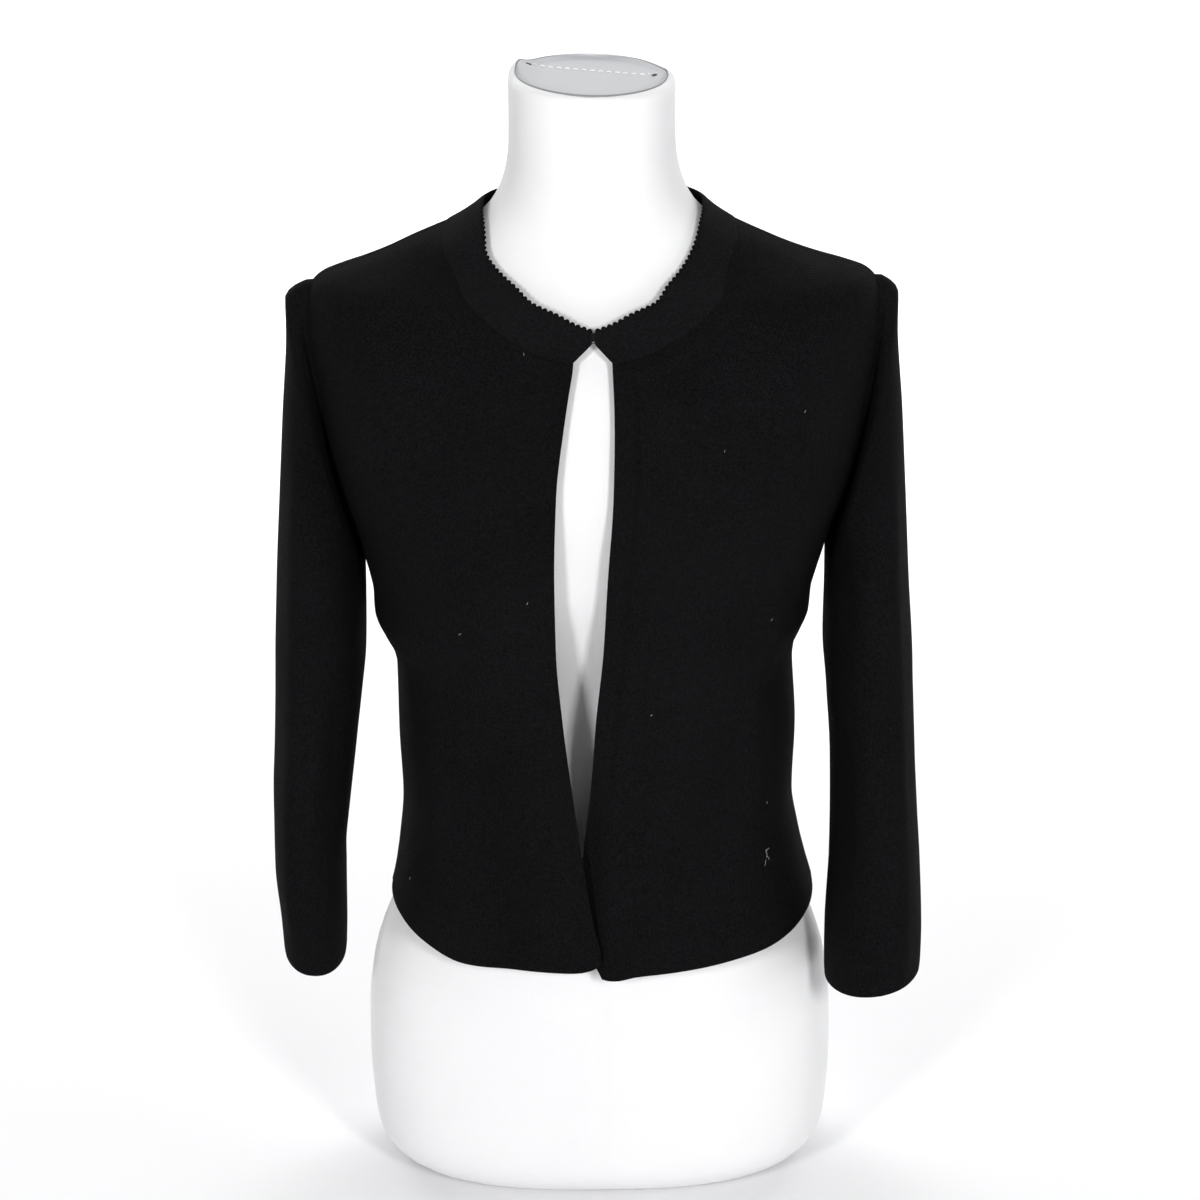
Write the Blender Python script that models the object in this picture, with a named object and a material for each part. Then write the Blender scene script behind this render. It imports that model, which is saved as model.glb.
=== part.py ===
"""A cropped open-front cardigan in fine black knit, worn on a white limbless dress form.

The meshes are in metres, +Z up. The form's front faces -Y, so the wearer's right side is
at -X. The origin is in the middle of the form's flat base. Turns go round the body: 0
degrees is the centre front, 90 the wearer's left side, 180 the back, 270 the right side.
Every size below is in millimetres and every angle in degrees.
"""
import math

import bmesh
import bpy
import numpy as np

MM = 0.001

# Cloth and seams, the sharp-edge angle for shading, and how fast folds fade at the sides
CLOTH = 1.5
BAND_CLOTH = 2.4
SEAM_GAP = 0.3
SHARP_ANGLE = 50.0
FADE_AT_SIDE = 3.0

# Dress form, as level rings: height, half width, front depth, back depth, squareness
FORM_RINGS = (
    (0, 150.0, 99.0, 112.0, 2.35),
    (46, 158.0, 103.0, 118.0, 2.35),
    (86, 160.0, 103.5, 121.0, 2.35),
    (116, 159.5, 103.0, 121.0, 2.35),
    (146, 156.0, 101.0, 119.0, 2.35),
    (166, 150.5, 99.0, 115.5, 2.3),
    (196, 138.9, 94.0, 108.0, 2.3),
    (246, 125.5, 86.0, 95.0, 2.3),
    (301, 119.0, 82.0, 84.0, 2.3),
    (356, 124.0, 88.0, 86.0, 2.3),
    (406, 133.0, 100.0, 92.0, 2.35),
    (446, 141.0, 109.0, 96.0, 2.4),
    (496, 152.0, 109.5, 99.0, 2.5),
    (546, 165.0, 101.0, 99.0, 2.6),
    (576, 173.0, 93.0, 97.0, 2.6),
    (603, 176.5, 83.5, 92.0, 2.45),
    (614, 173.0, 79.0, 87.5, 2.2),
    (622, 166.0, 75.0, 82.5, 1.98),
    (629, 156.0, 71.5, 78.3, 1.82),
    (637, 144.0, 68.4, 74.8, 1.73),
    (645.5, 131.5, 65.2, 71.5, 1.7),
    (653.5, 112.5, 62.8, 69.2, 1.7),
    (660.5, 95.5, 61.0, 67.8, 1.75),
    (666, 84.5, 60.2, 67.0, 1.85),
    (672, 75.8, 59.6, 66.4, 1.95),
    (678, 69.2, 59.1, 65.8, 2.0),
    (685, 64.2, 58.7, 65.2, 2.05),
    (694, 60.0, 58.3, 64.3, 2.1),
    (706, 56.6, 57.9, 63.2, 2.15),
    (720, 54.8, 57.5, 62.4, 2.2),
    (751, 54.4, 57.2, 62.0, 2.3),
    (776, 54.4, 57.2, 62.0, 2.3),
)
FORM_COLUMNS = 36
FORM_LEVELS = (
    31, 61, 101, 136, 166, 196, 246, 301, 356, 406, 441, 476, 516, 551, 581, 606, 619, 627,
    635, 644, 653, 661, 669, 677, 686, 696, 710, 728, 751,
)
BASE_ROUNDING = 30.0
CAP_HEIGHT = 764.0
CAP_TILT_BACK = 0.036
CAP_TILT_SIDE = -0.03
CAP_RIM = 5.0
CAP_HOLLOW = 3.5
CAP_FLOOR_SHARE = 0.86

# Inside of the worn cloth, as level rings in the same columns
CLOTH_RINGS = (
    (156, 145.5, 116.0, 121.5, 2.3),
    (181, 144.7, 116.0, 114.0, 2.3),
    (196, 143.9, 116.0, 110.0, 2.3),
    (216, 139.7, 116.0, 107.5, 2.3),
    (238, 135.5, 116.5, 106.0, 2.3),
    (271, 131.5, 117.0, 104.5, 2.3),
    (321, 133.3, 119.0, 103.5, 2.3),
    (366, 132.3, 121.0, 103.0, 2.3),
    (382, 134.5, 121.8, 103.0, 2.35),
    (394, 140.0, 122.3, 103.0, 2.4),
    (406, 145.0, 122.6, 103.0, 2.4),
    (421, 146.0, 122.8, 103.0, 2.4),
    (434, 149.0, 122.8, 103.0, 2.4),
    (446, 152.5, 122.5, 103.2, 2.4),
    (466, 158.0, 121.5, 103.4, 2.45),
    (496, 169.0, 118.0, 103.2, 2.55),
    (526, 176.5, 112.0, 102.6, 2.65),
    (556, 181.5, 104.5, 101.0, 2.7),
    (576, 184.5, 99.0, 99.5, 2.7),
    (600, 188.0, 91.5, 96.0, 2.55),
    (614, 188.0, 87.0, 92.0, 2.38),
    (624, 186.5, 83.0, 87.8, 2.14),
    (630, 182.5, 79.8, 84.0, 1.96),
    (635, 171.5, 77.0, 80.6, 1.82),
    (640.5, 154.8, 74.0, 77.5, 1.74),
    (648, 135.0, 70.2, 74.0, 1.7),
    (656, 117.0, 67.0, 71.5, 1.7),
    (663.5, 99.5, 64.6, 70.0, 1.75),
    (668.5, 88.8, 63.4, 69.2, 1.85),
    (674, 79.8, 62.4, 68.5, 1.95),
    (680, 73.0, 61.8, 67.8, 2.0),
    (686.5, 67.7, 61.2, 67.2, 2.05),
    (695.5, 63.2, 60.8, 66.4, 2.1),
    (708, 59.8, 60.4, 65.3, 2.15),
)

# Bust: rise over the rings, distance from the middle, spread sideways and up, and height
BUST_RISE = 12.0
BUST_APART = 66.0
BUST_SPREAD = 40.0
BUST_TALL = 62.0
BUST_HEIGHT = 461.0

# Hem of the body by turn from the centre front: turn, height
HEM = (
    (0, 177.0),
    (3.5, 176.8),
    (9, 179.0),
    (20, 180.2),
    (30, 181.2),
    (45, 183.8),
    (58, 188.0),
    (72, 194.0),
    (90, 197.0),
    (130, 189.0),
    (160, 190.5),
    (200, 187.5),
    (230, 190.0),
    (270, 201.0),
    (290, 195.5),
    (306, 187.5),
    (322, 180.5),
    (336, 182.7),
    (350, 183.0),
    (360, 183.5),
)
CORNER_RISE = 7.0
LEFT_CORNER_SHARE = 0.85
RIGHT_CORNER_SHARE = 0.4
CORNER_SHARPNESS = 5

# Front edges: height, the right front's edge, the left front's edge (sideways from the middle)
FRONT_EDGES = (
    (176, 2.0, -14.0),
    (193, 1.1, -14.0),
    (216, -3.7, -13.0),
    (262.5, -10.8, -10.0),
    (310.6, -16.8, -4.5),
    (358.6, -22.3, -1.0),
    (410, -26.3, 4.5),
    (460, -27.0, 7.8),
    (514, -25.1, 11.9),
    (558, -19.4, 12.9),
    (596, -12.7, 11.6),
    (616, -8.0, 8.0),
)

# Sideways lean of the worn cloth: height, shift to the wearer's left
CLOTH_LEAN = (
    (156, 2.6),
    (196, 2.5),
    (238, 1.0),
    (271, 0.0),
    (321, 0.0),
    (366, -1.3),
    (406, -3.0),
    (436, -2.0),
    (476, -1.0),
    (576, 0.0),
    (606, -0.5),
    (629, 0.5),
    (642, -1.5),
    (656, -2.8),
    (668, -1.0),
    (690, 0.5),
    (716, 0.5),
)

# The left front's lower corner, which passes behind the right front
TUCK_DEPTH = 9.0
TUCK_START = 9.0
TUCK_RUN = 15.0
TUCK_TOP = 346.0
TUCK_FADE = 70.0

# Neckline by station (0 at the centre front, 8 at the shoulder, 14 at the nape): turn and
# height of the band's seam, then of its free edge
NECKLINE = (
    (0, 0.0, 594.0, 0.0, 614.5),
    (1, 5.0, 597.5, 4.0, 619.0),
    (2, 10.0, 601.5, 7.5, 624.5),
    (3, 15.0, 609.0, 12.7, 630.5),
    (4, 20.5, 620.0, 18.0, 638.5),
    (5, 27.5, 632.0, 27.0, 647.5),
    (6, 39.0, 644.0, 41.0, 659.2),
    (7, 60.0, 657.5, 65.0, 674.5),
    (8, 90.0, 666.0, 90.0, 681.5),
    (9, 113.0, 664.0, 110.0, 679.0),
    (10, 129.0, 663.0, 127.0, 679.0),
    (12, 155.0, 662.0, 154.0, 680.5),
    (14, 180.0, 661.5, 180.0, 682.5),
)
SHOULDER_STATION = 8
NAPE_STATION = 14
BAND_END_GAP = 1.9
BAND_END_SPLAY = 0.62
BAND_ROWS = (0.0, 0.3, 0.62, 1.0)

# Picot edge
PICOT_PITCH = 4.0
PICOT_VALLEY = 0.5
PICOT_PEAK = 2.1
PICOT_CLOTH = 1.3

# Armhole
ARMHOLE_TOP = 629.0
ARMHOLE_FOOT = 446.0
ARMHOLE_REACH = 36.0
ARMHOLE_SIDE_STEPS = 14

# Sleeve outsides by height: height, outer edge, inner edge, middle depth, half depth
SLEEVE_RIGHT = (
    (164.5, 215.0, 173.5, -35.0, 49.0),
    (191, 217.0, 172.5, -32.0, 50.0),
    (227, 220.5, 172.0, -28.0, 51.5),
    (271, 220.8, 167.5, -23.0, 53.5),
    (321, 218.5, 161.5, -17.0, 56.5),
    (371, 216.8, 156.0, -11.0, 61.0),
    (428, 214.5, 155.0, -6.0, 65.0),
    (486, 211.0, 155.5, -3.0, 61.0),
    (546, 207.0, 156.0, -1.0, 51.0),
    (596, 203.8, 158.0, 0.0, 42.0),
    (636, 203.6, 160.0, 0.0, 31.0),
)
SLEEVE_LEFT = (
    (153, 218.0, 153.5, -57.0, 46.0),
    (191, 219.5, 154.0, -50.0, 48.0),
    (234, 218.3, 156.5, -42.0, 51.0),
    (301, 215.0, 157.5, -29.0, 55.0),
    (351, 213.5, 155.0, -19.0, 59.0),
    (381, 212.5, 153.0, -14.0, 62.0),
    (428, 210.0, 154.0, -8.0, 65.0),
    (486, 207.5, 154.0, -4.0, 61.0),
    (546, 204.5, 156.0, -1.0, 51.0),
    (596, 201.5, 158.0, 0.0, 42.0),
    (636, 201.5, 160.0, 0.0, 31.0),
)
SLEEVE_SQUARENESS = 2.15
RIGHT_HEM_RISE = 5.0
LEFT_HEM_RISE = 8.0
SLEEVE_LEAD = 5.0
SLEEVE_HEAD_TURN = 45.0
SLEEVE_UNDERARM_TURN = 56.0
UNDERARM_EASE = 1.0
CAP_BLEND = 11.0
CAP_FOOT = 421.0
CAP_STEPS = (0.03, 0.09, 0.24, 0.42, 0.68, 1.0)
SLEEVE_ROWS_BELOW = 8

# Sleeve folds: turn round the sleeve (0 outside, 90 front), top and low heights, spread, rise
SLEEVE_RIGHT_FOLDS = (
    (62, 496, 206, 13, 1.8),
    (122, 356, 276, 24, -3.5),
    (205, 346, 256, 26, -3.0),
    (300, 366, 266, 24, -2.5),
)
SLEEVE_LEFT_FOLDS = (
    (58, 486, 181, 12, 2.0),
    (128, 446, 346, 22, -2.5),
    (140, 316, 206, 24, -3.5),
    (230, 346, 246, 26, -3.0),
)

# Body folds: sideways place and height of the upper end and the lower end, spread, rise
FRONT_FOLDS = (
    (-124, 396, -121, 316, 7, 2.8),
    (-108, 366, -110, 256, 8, 2.4),
    (-76, 326, -62, 206, 12, -4.5),
    (-42, 316, -34, 216, 14, 2.0),
    (122, 404, 106, 366, 6, 2.6),
    (103, 372, 109, 278, 7, 2.8),
    (84, 346, 78, 216, 12, -3.5),
    (46, 316, 40, 206, 14, 2.0),
)
BACK_FOLDS = (
    (-96, 376, -88, 226, 13, -4.0),
    (-52, 346, -46, 206, 15, 2.5),
    (-8, 366, -4, 216, 16, -3.0),
    (48, 336, 52, 211, 14, 2.5),
    (92, 366, 98, 221, 13, -4.0),
)
FOLD_FADE = 30.0

# Panel grids
FRONT_COLUMNS = 12
SIDE_STEPS = 12
NECK_STEPS = 10
BACK_SHOULDER_STEPS = 7
BACK_NECK_STEPS = 14
TOP_SHAPE_POWER = 3

# Hook and eye, in the plane of the band's inner face: round wire
WIRE_RADIUS = 0.35
FASTENING_HEIGHT = 610.0


def smooth_column(table, column, at):
    """One column of a table at any place along it, on a curve that never overshoots its rows."""
    rows = np.array(table, float)
    places = rows[:, 0]
    values = rows[:, column]
    steps = np.diff(places)
    slopes = np.diff(values) / steps
    before = slopes[:-1]
    after = slopes[1:]
    same_way = before * after > 0
    safe_sum = np.where(same_way, before + after, 1.0)
    middle = np.where(same_way, 2 * before * after / safe_sum, 0.0)
    tangents = np.concatenate([slopes[:1], middle, slopes[-1:]])
    at = np.clip(at, places[0], places[-1])
    i = np.clip(np.searchsorted(places, at, side="right") - 1, 0, len(steps) - 1)
    h = steps[i]
    t = (at - places[i]) / h
    rise = (3 - 2 * t) * t * t
    lead_in = t * (1 - t) ** 2 * h * tangents[i]
    lead_out = t * t * (t - 1) * h * tangents[i + 1]
    return values[i] * (1 - rise) + values[i + 1] * rise + lead_in + lead_out


def smooth_step(t):
    """0 below 0, 1 above 1, and a soft rise between."""
    t = np.clip(t, 0.0, 1.0)
    return (3 - 2 * t) * t * t


def bell(distance, spread):
    return np.exp(-((distance / spread) ** 2))


def ring_columns(rings, height):
    return [smooth_column(rings, column, height) for column in (1, 2, 3, 4)]


def on_ring(sine, cosine, squareness):
    """How far a ring reaches in a direction, as a share of its half sizes."""
    return (np.abs(sine) ** squareness + np.abs(cosine) ** squareness) ** (-1 / squareness)


def ring_point(rings, turn, height):
    """A point on a body of level rings, with the bust on its front."""
    turn = np.asarray(turn, float)
    height = np.asarray(height, float)
    half_width, front, back, squareness = ring_columns(rings, height)
    sine = np.sin(np.radians(turn))
    cosine = np.cos(np.radians(turn))
    reach = on_ring(sine, cosine, squareness)
    x = half_width * sine * reach
    y = -np.where(cosine > 0, front, back) * cosine * reach
    bust = BUST_RISE * bell(np.abs(x) - BUST_APART, BUST_SPREAD)
    bust = bust * bell(height - BUST_HEIGHT, BUST_TALL) * smooth_step(cosine * FADE_AT_SIDE)
    return np.stack(np.broadcast_arrays(x, y - bust, height), axis=-1)


def fold_rise(folds, x, height):
    """Height of all soft folds of a panel at a place on it."""
    total = np.zeros(np.broadcast(x, height).shape)
    for top_x, top, low_x, low, spread, rise in folds:
        along = np.clip((top - height) / (top - low), 0, 1)
        centre = top_x + (low_x - top_x) * along
        fade = smooth_step((top + FOLD_FADE - height) / FOLD_FADE)
        fade = fade * smooth_step((height - low + FOLD_FADE) / FOLD_FADE)
        total = total + rise * fade * bell(x - centre, spread)
    return total


def cloth_point(turn, height):
    """A point on the inside of the worn body of the cardigan."""
    point = ring_point(CLOTH_RINGS, turn, height)
    cosine = np.cos(np.radians(turn))
    x = point[..., 0]
    front = fold_rise(FRONT_FOLDS, x, height) * smooth_step(cosine * FADE_AT_SIDE)
    back = fold_rise(BACK_FOLDS, x, height) * smooth_step(-cosine * FADE_AT_SIDE)
    point[..., 1] += back - front
    point[..., 0] += smooth_column(CLOTH_LEAN, 1, height)
    return point


def tucked_point(turn, height):
    """The left front, whose lower corner goes back behind the right front."""
    point = cloth_point(turn, height)
    sideways = smooth_step((TUCK_START - point[..., 0]) / TUCK_RUN)
    low = smooth_step((TUCK_TOP - point[..., 2]) / TUCK_FADE)
    point[..., 1] += TUCK_DEPTH * sideways * low
    return point


def outward(surface, turn, height):
    """Unit normals of a surface given by turn and height."""
    step = 0.4
    along = surface(turn + step, height) - surface(turn - step, height)
    upward = surface(turn, height + step) - surface(turn, height - step)
    normal = np.cross(along, upward)
    return normal / np.linalg.norm(normal, axis=-1, keepdims=True)


def turn_from_share(share, squareness):
    """Turn from a ring's middle line at which it lies this share of its half size away."""
    power = np.clip(share, 0, 1 - 1e-9) ** squareness
    return np.degrees(np.arctan((power / (1 - power)) ** (1 / squareness)))


def turn_at_side(height, x):
    """Turn on the front of the cloth that lies x to the side of the middle."""
    half_width, _, _, squareness = ring_columns(CLOTH_RINGS, height)
    x = x - smooth_column(CLOTH_LEAN, 1, height)
    return turn_from_share(np.abs(x) / half_width, squareness) * np.sign(x)


def turn_at_depth(height, y):
    """Turn on the wearer's left side of the cloth that lies y behind the side seam."""
    _, front, back, squareness = ring_columns(CLOTH_RINGS, height)
    share = np.abs(y) / np.where(y < 0, front, back)
    return 90 + turn_from_share(share, squareness) * np.sign(y)


def hem_height(turn):
    """Height of the body's hem, lowest at the front, with slight waves."""
    return smooth_column(HEM, 1, np.asarray(turn, float) % 360)


def armhole(angle):
    """Turn and height on the left armhole: 0 at the shoulder, 90 in front, 180 underarm."""
    sine = np.sin(np.radians(angle))
    cosine = np.cos(np.radians(angle))
    height = (ARMHOLE_TOP + ARMHOLE_FOOT) / 2 + (ARMHOLE_TOP - ARMHOLE_FOOT) / 2 * cosine
    return turn_at_depth(height, -ARMHOLE_REACH * sine), height


def side_edge(is_front):
    """Side seam and then armhole of a left panel edge, from the hem to the shoulder."""
    nudge = -SEAM_GAP / 2 if is_front else SEAM_GAP / 2
    seam = np.linspace(hem_height(90), ARMHOLE_FOOT, SIDE_STEPS + 1)
    turns = turn_at_depth(seam, np.full_like(seam, nudge))
    steps = np.arange(ARMHOLE_SIDE_STEPS - 1, 0, -1) / ARMHOLE_SIDE_STEPS * 180
    hole_turns, hole_heights = armhole(steps if is_front else 360 - steps)
    tip_turn = turn_at_depth(np.array([ARMHOLE_TOP]), np.array([nudge]))
    turns = np.concatenate([turns, hole_turns, tip_turn])
    heights = np.concatenate([seam, hole_heights, [ARMHOLE_TOP]])
    return np.stack([turns, heights], axis=-1)


def neck_station(station, is_edge):
    """Turn and height of the neckline at a station; 28 is the centre front again."""
    station = np.asarray(station, float)
    place = NAPE_STATION - np.abs(station - NAPE_STATION)
    first = 3 if is_edge else 1
    turn = smooth_column(NECKLINE, first, place)
    height = smooth_column(NECKLINE, first + 1, place)
    return np.stack([np.where(station > NAPE_STATION, 360 - turn, turn), height], axis=-1)


def shoulder_edge(is_front, steps):
    """Left shoulder seam from the neckline out to the armhole."""
    nudge = -SEAM_GAP / 2 if is_front else SEAM_GAP / 2
    neck = neck_station(SHOULDER_STATION, False)[1]
    heights = np.linspace(neck, ARMHOLE_TOP, steps + 1)
    return np.stack([turn_at_depth(heights, np.full_like(heights, nudge)), heights], axis=-1)


def neck_stations(column, side, is_edge):
    """Stations of one side's neckline, from its front end to the shoulder."""
    height = neck_station(0, is_edge)[1]
    x = side * BAND_END_GAP / 2
    if not is_edge:
        x = float(smooth_column(FRONT_EDGES, column, height))
    turn = float(turn_at_side(height, x)) * side
    tried = np.linspace(0, 3, 301)
    start = np.interp(turn, neck_station(tried, is_edge)[:, 0], tried)
    return np.linspace(start, SHOULDER_STATION, NECK_STEPS + 1)


def filled(bottom, top, left, right, top_shares):
    """Rows and columns of turn and height that fill the four edges of a panel."""
    v = np.linspace(0, 1, len(left))[:, None, None]
    low_shares = np.linspace(0, 1, len(bottom))
    u = (1 - v) * low_shares[None, :, None] + v * top_shares[None, :, None]
    shape = v ** TOP_SHAPE_POWER
    along = (1 - shape) * bottom[None] + shape * top[None]
    across = (1 - u) * left[:, None] + u * right[:, None]
    low_corners = (1 - shape) * ((1 - u) * bottom[0] + u * bottom[-1])
    high_corners = shape * ((1 - u) * top[0] + u * top[-1])
    return along + across - low_corners - high_corners


def front_grid(column, side):
    """Turns and heights of one front, as on the left side: side is -1 for the right front."""
    armhole_side = side_edge(True)
    neck = neck_station(neck_stations(column, side, False), False)
    hem_middle = float(hem_height(0 if side > 0 else 359.99))
    low = np.linspace(hem_middle, ARMHOLE_FOOT, SIDE_STEPS + 1)
    high = np.linspace(ARMHOLE_FOOT, neck[0, 1], ARMHOLE_SIDE_STEPS - NECK_STEPS + 1)
    heights = np.concatenate([low, high[1:]])
    edge = smooth_column(FRONT_EDGES, column, heights)
    edge_turns = turn_at_side(heights, edge) * side
    left = np.stack([edge_turns, heights], axis=-1)
    left = np.concatenate([left[:-1], neck])
    top = shoulder_edge(True, FRONT_COLUMNS)
    left[-1] = top[0]
    top[-1] = armhole_side[-1]
    turns = np.linspace(left[0, 0], armhole_side[0, 0], FRONT_COLUMNS + 1)
    corner_share = LEFT_CORNER_SHARE if side > 0 else RIGHT_CORNER_SHARE
    turns[1] = turns[0] + (turns[1] - turns[0]) * corner_share
    bottom = np.stack([turns, hem_height(turns * side)], axis=-1)
    away = (turns - turns[0]) / (turns[2] - turns[0])
    if side < 0:
        bottom[:, 1] += CORNER_RISE * np.clip(1 - away, 0, 1) ** CORNER_SHARPNESS
    left[0] = bottom[0]
    bottom[-1] = armhole_side[0]
    return filled(bottom, top, left, armhole_side, np.linspace(0, 1, FRONT_COLUMNS + 1))


def mirrored(grid):
    """Turns and heights of the same places on the wearer's other side."""
    return grid * (-1, 1) + (360, 0)


def back_grid():
    """Turns and heights of the back, from the left side round to the right side."""
    left = side_edge(False)
    right = mirrored(left)
    left[0, 1] = hem_height(90)
    right[0, 1] = hem_height(270)
    stations = np.linspace(SHOULDER_STATION, 2 * NAPE_STATION - SHOULDER_STATION, BACK_NECK_STEPS + 1)
    neck = neck_station(stations, False)
    shoulder = shoulder_edge(False, BACK_SHOULDER_STEPS)[::-1]
    top = np.concatenate([shoulder, neck[1:-1], mirrored(shoulder)[::-1]])
    turns = np.linspace(left[0, 0], right[0, 0], len(top))
    bottom = np.stack([turns, hem_height(turns)], axis=-1)
    bottom[0] = left[0]
    bottom[-1] = right[0]
    top_shares = (top[:, 0] - top[0, 0]) / (top[-1, 0] - top[0, 0])
    return filled(bottom, top, left, right, top_shares)


def wall_faces(rows, columns, is_tube):
    """Faces of a closed wall: an inner grid of points, then an outer grid."""
    count = rows * columns
    faces = []
    spans = columns if is_tube else columns - 1
    for row in range(rows - 1):
        for column in range(spans):
            after = (column + 1) % columns
            a = row * columns + column
            b = row * columns + after
            c = (row + 1) * columns + after
            d = (row + 1) * columns + column
            faces.append((a, d, c, b))
            faces.append((a + count, b + count, c + count, d + count))
    last = (rows - 1) * columns
    for column in range(spans):
        after = (column + 1) % columns
        faces.append((column, after, after + count, column + count))
        faces.append((last + column, last + column + count, last + after + count, last + after))
    if not is_tube:
        for row in range(rows - 1):
            a = row * columns
            b = (row + 1) * columns
            faces.append((a, a + count, b + count, b))
            a += columns - 1
            b += columns - 1
            faces.append((a, b, b + count, a + count))
    return faces


def add_object(name, points, faces, material):
    """A mesh object from points in millimetres, its faces turned outwards."""
    mesh = bpy.data.meshes.new(name)
    mesh.from_pydata([tuple(point) for point in np.asarray(points) * MM], [], faces)
    work = bmesh.new()
    work.from_mesh(mesh)
    bmesh.ops.recalc_face_normals(work, faces=work.faces)
    work.to_mesh(mesh)
    work.free()
    mesh.shade_smooth()
    mesh.set_sharp_from_angle(angle=math.radians(SHARP_ANGLE))
    mesh.materials.append(material)
    piece = bpy.data.objects.new(name, mesh)
    PARTS.objects.link(piece)
    return piece


def add_wall(name, inner, outer, material, is_tube=False):
    rows, columns = inner.shape[:2]
    points = np.concatenate([inner.reshape(-1, 3), outer.reshape(-1, 3)])
    return add_object(name, points, wall_faces(rows, columns, is_tube), material)


def add_panel(name, surface, grid, material):
    turns = grid[..., 0]
    heights = grid[..., 1]
    inner = surface(turns, heights)
    outer = inner + outward(surface, turns, heights) * CLOTH
    return add_wall(name, inner, outer, material)


def make_fronts(material):
    add_panel("front_left", tucked_point, front_grid(2, 1), material)
    add_panel("front_right", cloth_point, mirrored(front_grid(1, -1)), material)


def make_back(material):
    add_panel("back", cloth_point, back_grid(), material)


def tube_point(table, angle, height):
    """A point on the inside of a hanging sleeve: angle 0 is its outer edge, 90 its front."""
    outer = smooth_column(table, 1, height) - CLOTH
    inner = smooth_column(table, 2, height) + CLOTH
    middle_depth = smooth_column(table, 3, height)
    half_depth = smooth_column(table, 4, height) - CLOTH
    cosine = np.cos(np.radians(angle))
    sine = np.sin(np.radians(angle))
    x = np.sign(cosine) * np.abs(cosine) ** (2 / SLEEVE_SQUARENESS)
    y = np.sign(sine) * np.abs(sine) ** (2 / SLEEVE_SQUARENESS)
    x = (outer + inner) / 2 + (outer - inner) / 2 * x
    y = middle_depth - half_depth * y
    return np.stack(np.broadcast_arrays(x, y, height), axis=-1)


def sleeve_fold(folds, angle, height):
    total = np.zeros(np.broadcast(angle, height).shape)
    for centre, top, low, spread, rise in folds:
        fade = smooth_step((top + FOLD_FADE - height) / FOLD_FADE)
        fade = fade * smooth_step((height - low + FOLD_FADE) / FOLD_FADE)
        away = (angle - centre + 180) % 360 - 180
        total = total + rise * fade * bell(away, spread)
    return total


def across_point(turn, height):
    """The wearer's right side of the cloth, mirrored onto the left side."""
    return cloth_point(360 - turn, height) * (-1, 1, 1)


def sleeve_walls(surface, table, folds, hem_rise):
    """Inner and outer points of a left-hand sleeve, from its armhole down to its hem."""
    angles = np.arange(2 * ARMHOLE_SIDE_STEPS) / ARMHOLE_SIDE_STEPS * 180
    turns, heights = armhole(angles)
    seam = surface(turns, heights)
    normal = outward(surface, turns, heights)
    tangent = np.roll(seam, -1, axis=0) - np.roll(seam, 1, axis=0)
    away = np.cross(normal, tangent)
    away /= np.linalg.norm(away, axis=-1, keepdims=True)
    underarm = (1 - np.cos(np.radians(angles))) / 2
    fold_in = SLEEVE_HEAD_TURN * (1 - underarm) + SLEEVE_UNDERARM_TURN * underarm
    gap = SEAM_GAP * (1 + UNDERARM_EASE * underarm[:, None])
    sine = np.sin(np.radians(fold_in))[:, None]
    cosine = np.cos(np.radians(fold_in))[:, None]
    start = seam + away * (gap + CLOTH * sine)
    outer_start = seam + away * gap + normal * CLOTH * cosine
    lead = start + (away * cosine + normal * sine) * SLEEVE_LEAD
    offset = lead - tube_point(table, angles, lead[:, 2])
    rows = [start, lead]
    hem = table[0][0]
    outside = (1 + np.cos(np.radians(angles))) / 2
    levels = [lead[:, 2] + (CAP_FOOT - lead[:, 2]) * step for step in CAP_STEPS]
    for row in range(1, SLEEVE_ROWS_BELOW + 1):
        share = row / SLEEVE_ROWS_BELOW
        rise = hem_rise * outside**2 * share**4
        levels.append(CAP_FOOT + (hem - CAP_FOOT) * share + rise)
    for level in levels:
        left_over = np.clip(1 - (lead[:, 2] - level) / CAP_BLEND, 0, 1) ** 2
        rows.append(tube_point(table, angles, level) + offset * left_over[:, None])
    inner = np.array(rows)
    round_way = np.roll(inner, -1, axis=1) - np.roll(inner, 1, axis=1)
    down_way = np.gradient(inner, axis=0)
    facing = np.cross(round_way, down_way)
    facing /= np.linalg.norm(facing, axis=-1, keepdims=True)
    rise = sleeve_fold(folds, angles[None, :], inner[..., 2])
    inner = inner + facing * rise[..., None]
    outer = inner + facing * CLOTH
    inner[0] = start
    outer[0] = outer_start
    return inner, outer


def make_sleeves(material):
    inner, outer = sleeve_walls(cloth_point, SLEEVE_LEFT, SLEEVE_LEFT_FOLDS, LEFT_HEM_RISE)
    add_wall("sleeve_left", inner, outer, material, is_tube=True)
    inner, outer = sleeve_walls(
        across_point, SLEEVE_RIGHT, SLEEVE_RIGHT_FOLDS, RIGHT_HEM_RISE
    )
    mirror = np.array([-1, 1, 1])
    add_wall("sleeve_right", inner * mirror, outer * mirror, material, is_tube=True)


def band_grid():
    """Turns and heights of the neck band: rows from its seam up to its free edge."""
    back = np.linspace(SHOULDER_STATION, 2 * NAPE_STATION - SHOULDER_STATION, BACK_NECK_STEPS + 1)
    lines = []
    for is_edge in (False, True):
        left = neck_stations(2, 1, is_edge)
        right = 2 * NAPE_STATION - neck_stations(1, -1, is_edge)[::-1]
        lines.append(neck_station(np.concatenate([left, back[1:-1], right]), is_edge))
    seam, edge = lines
    rows = []
    for up in BAND_ROWS:
        share = np.array([min(1.0, up / BAND_END_SPLAY), up])
        rows.append(seam + (edge - seam) * share)
    return np.array(rows)


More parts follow.
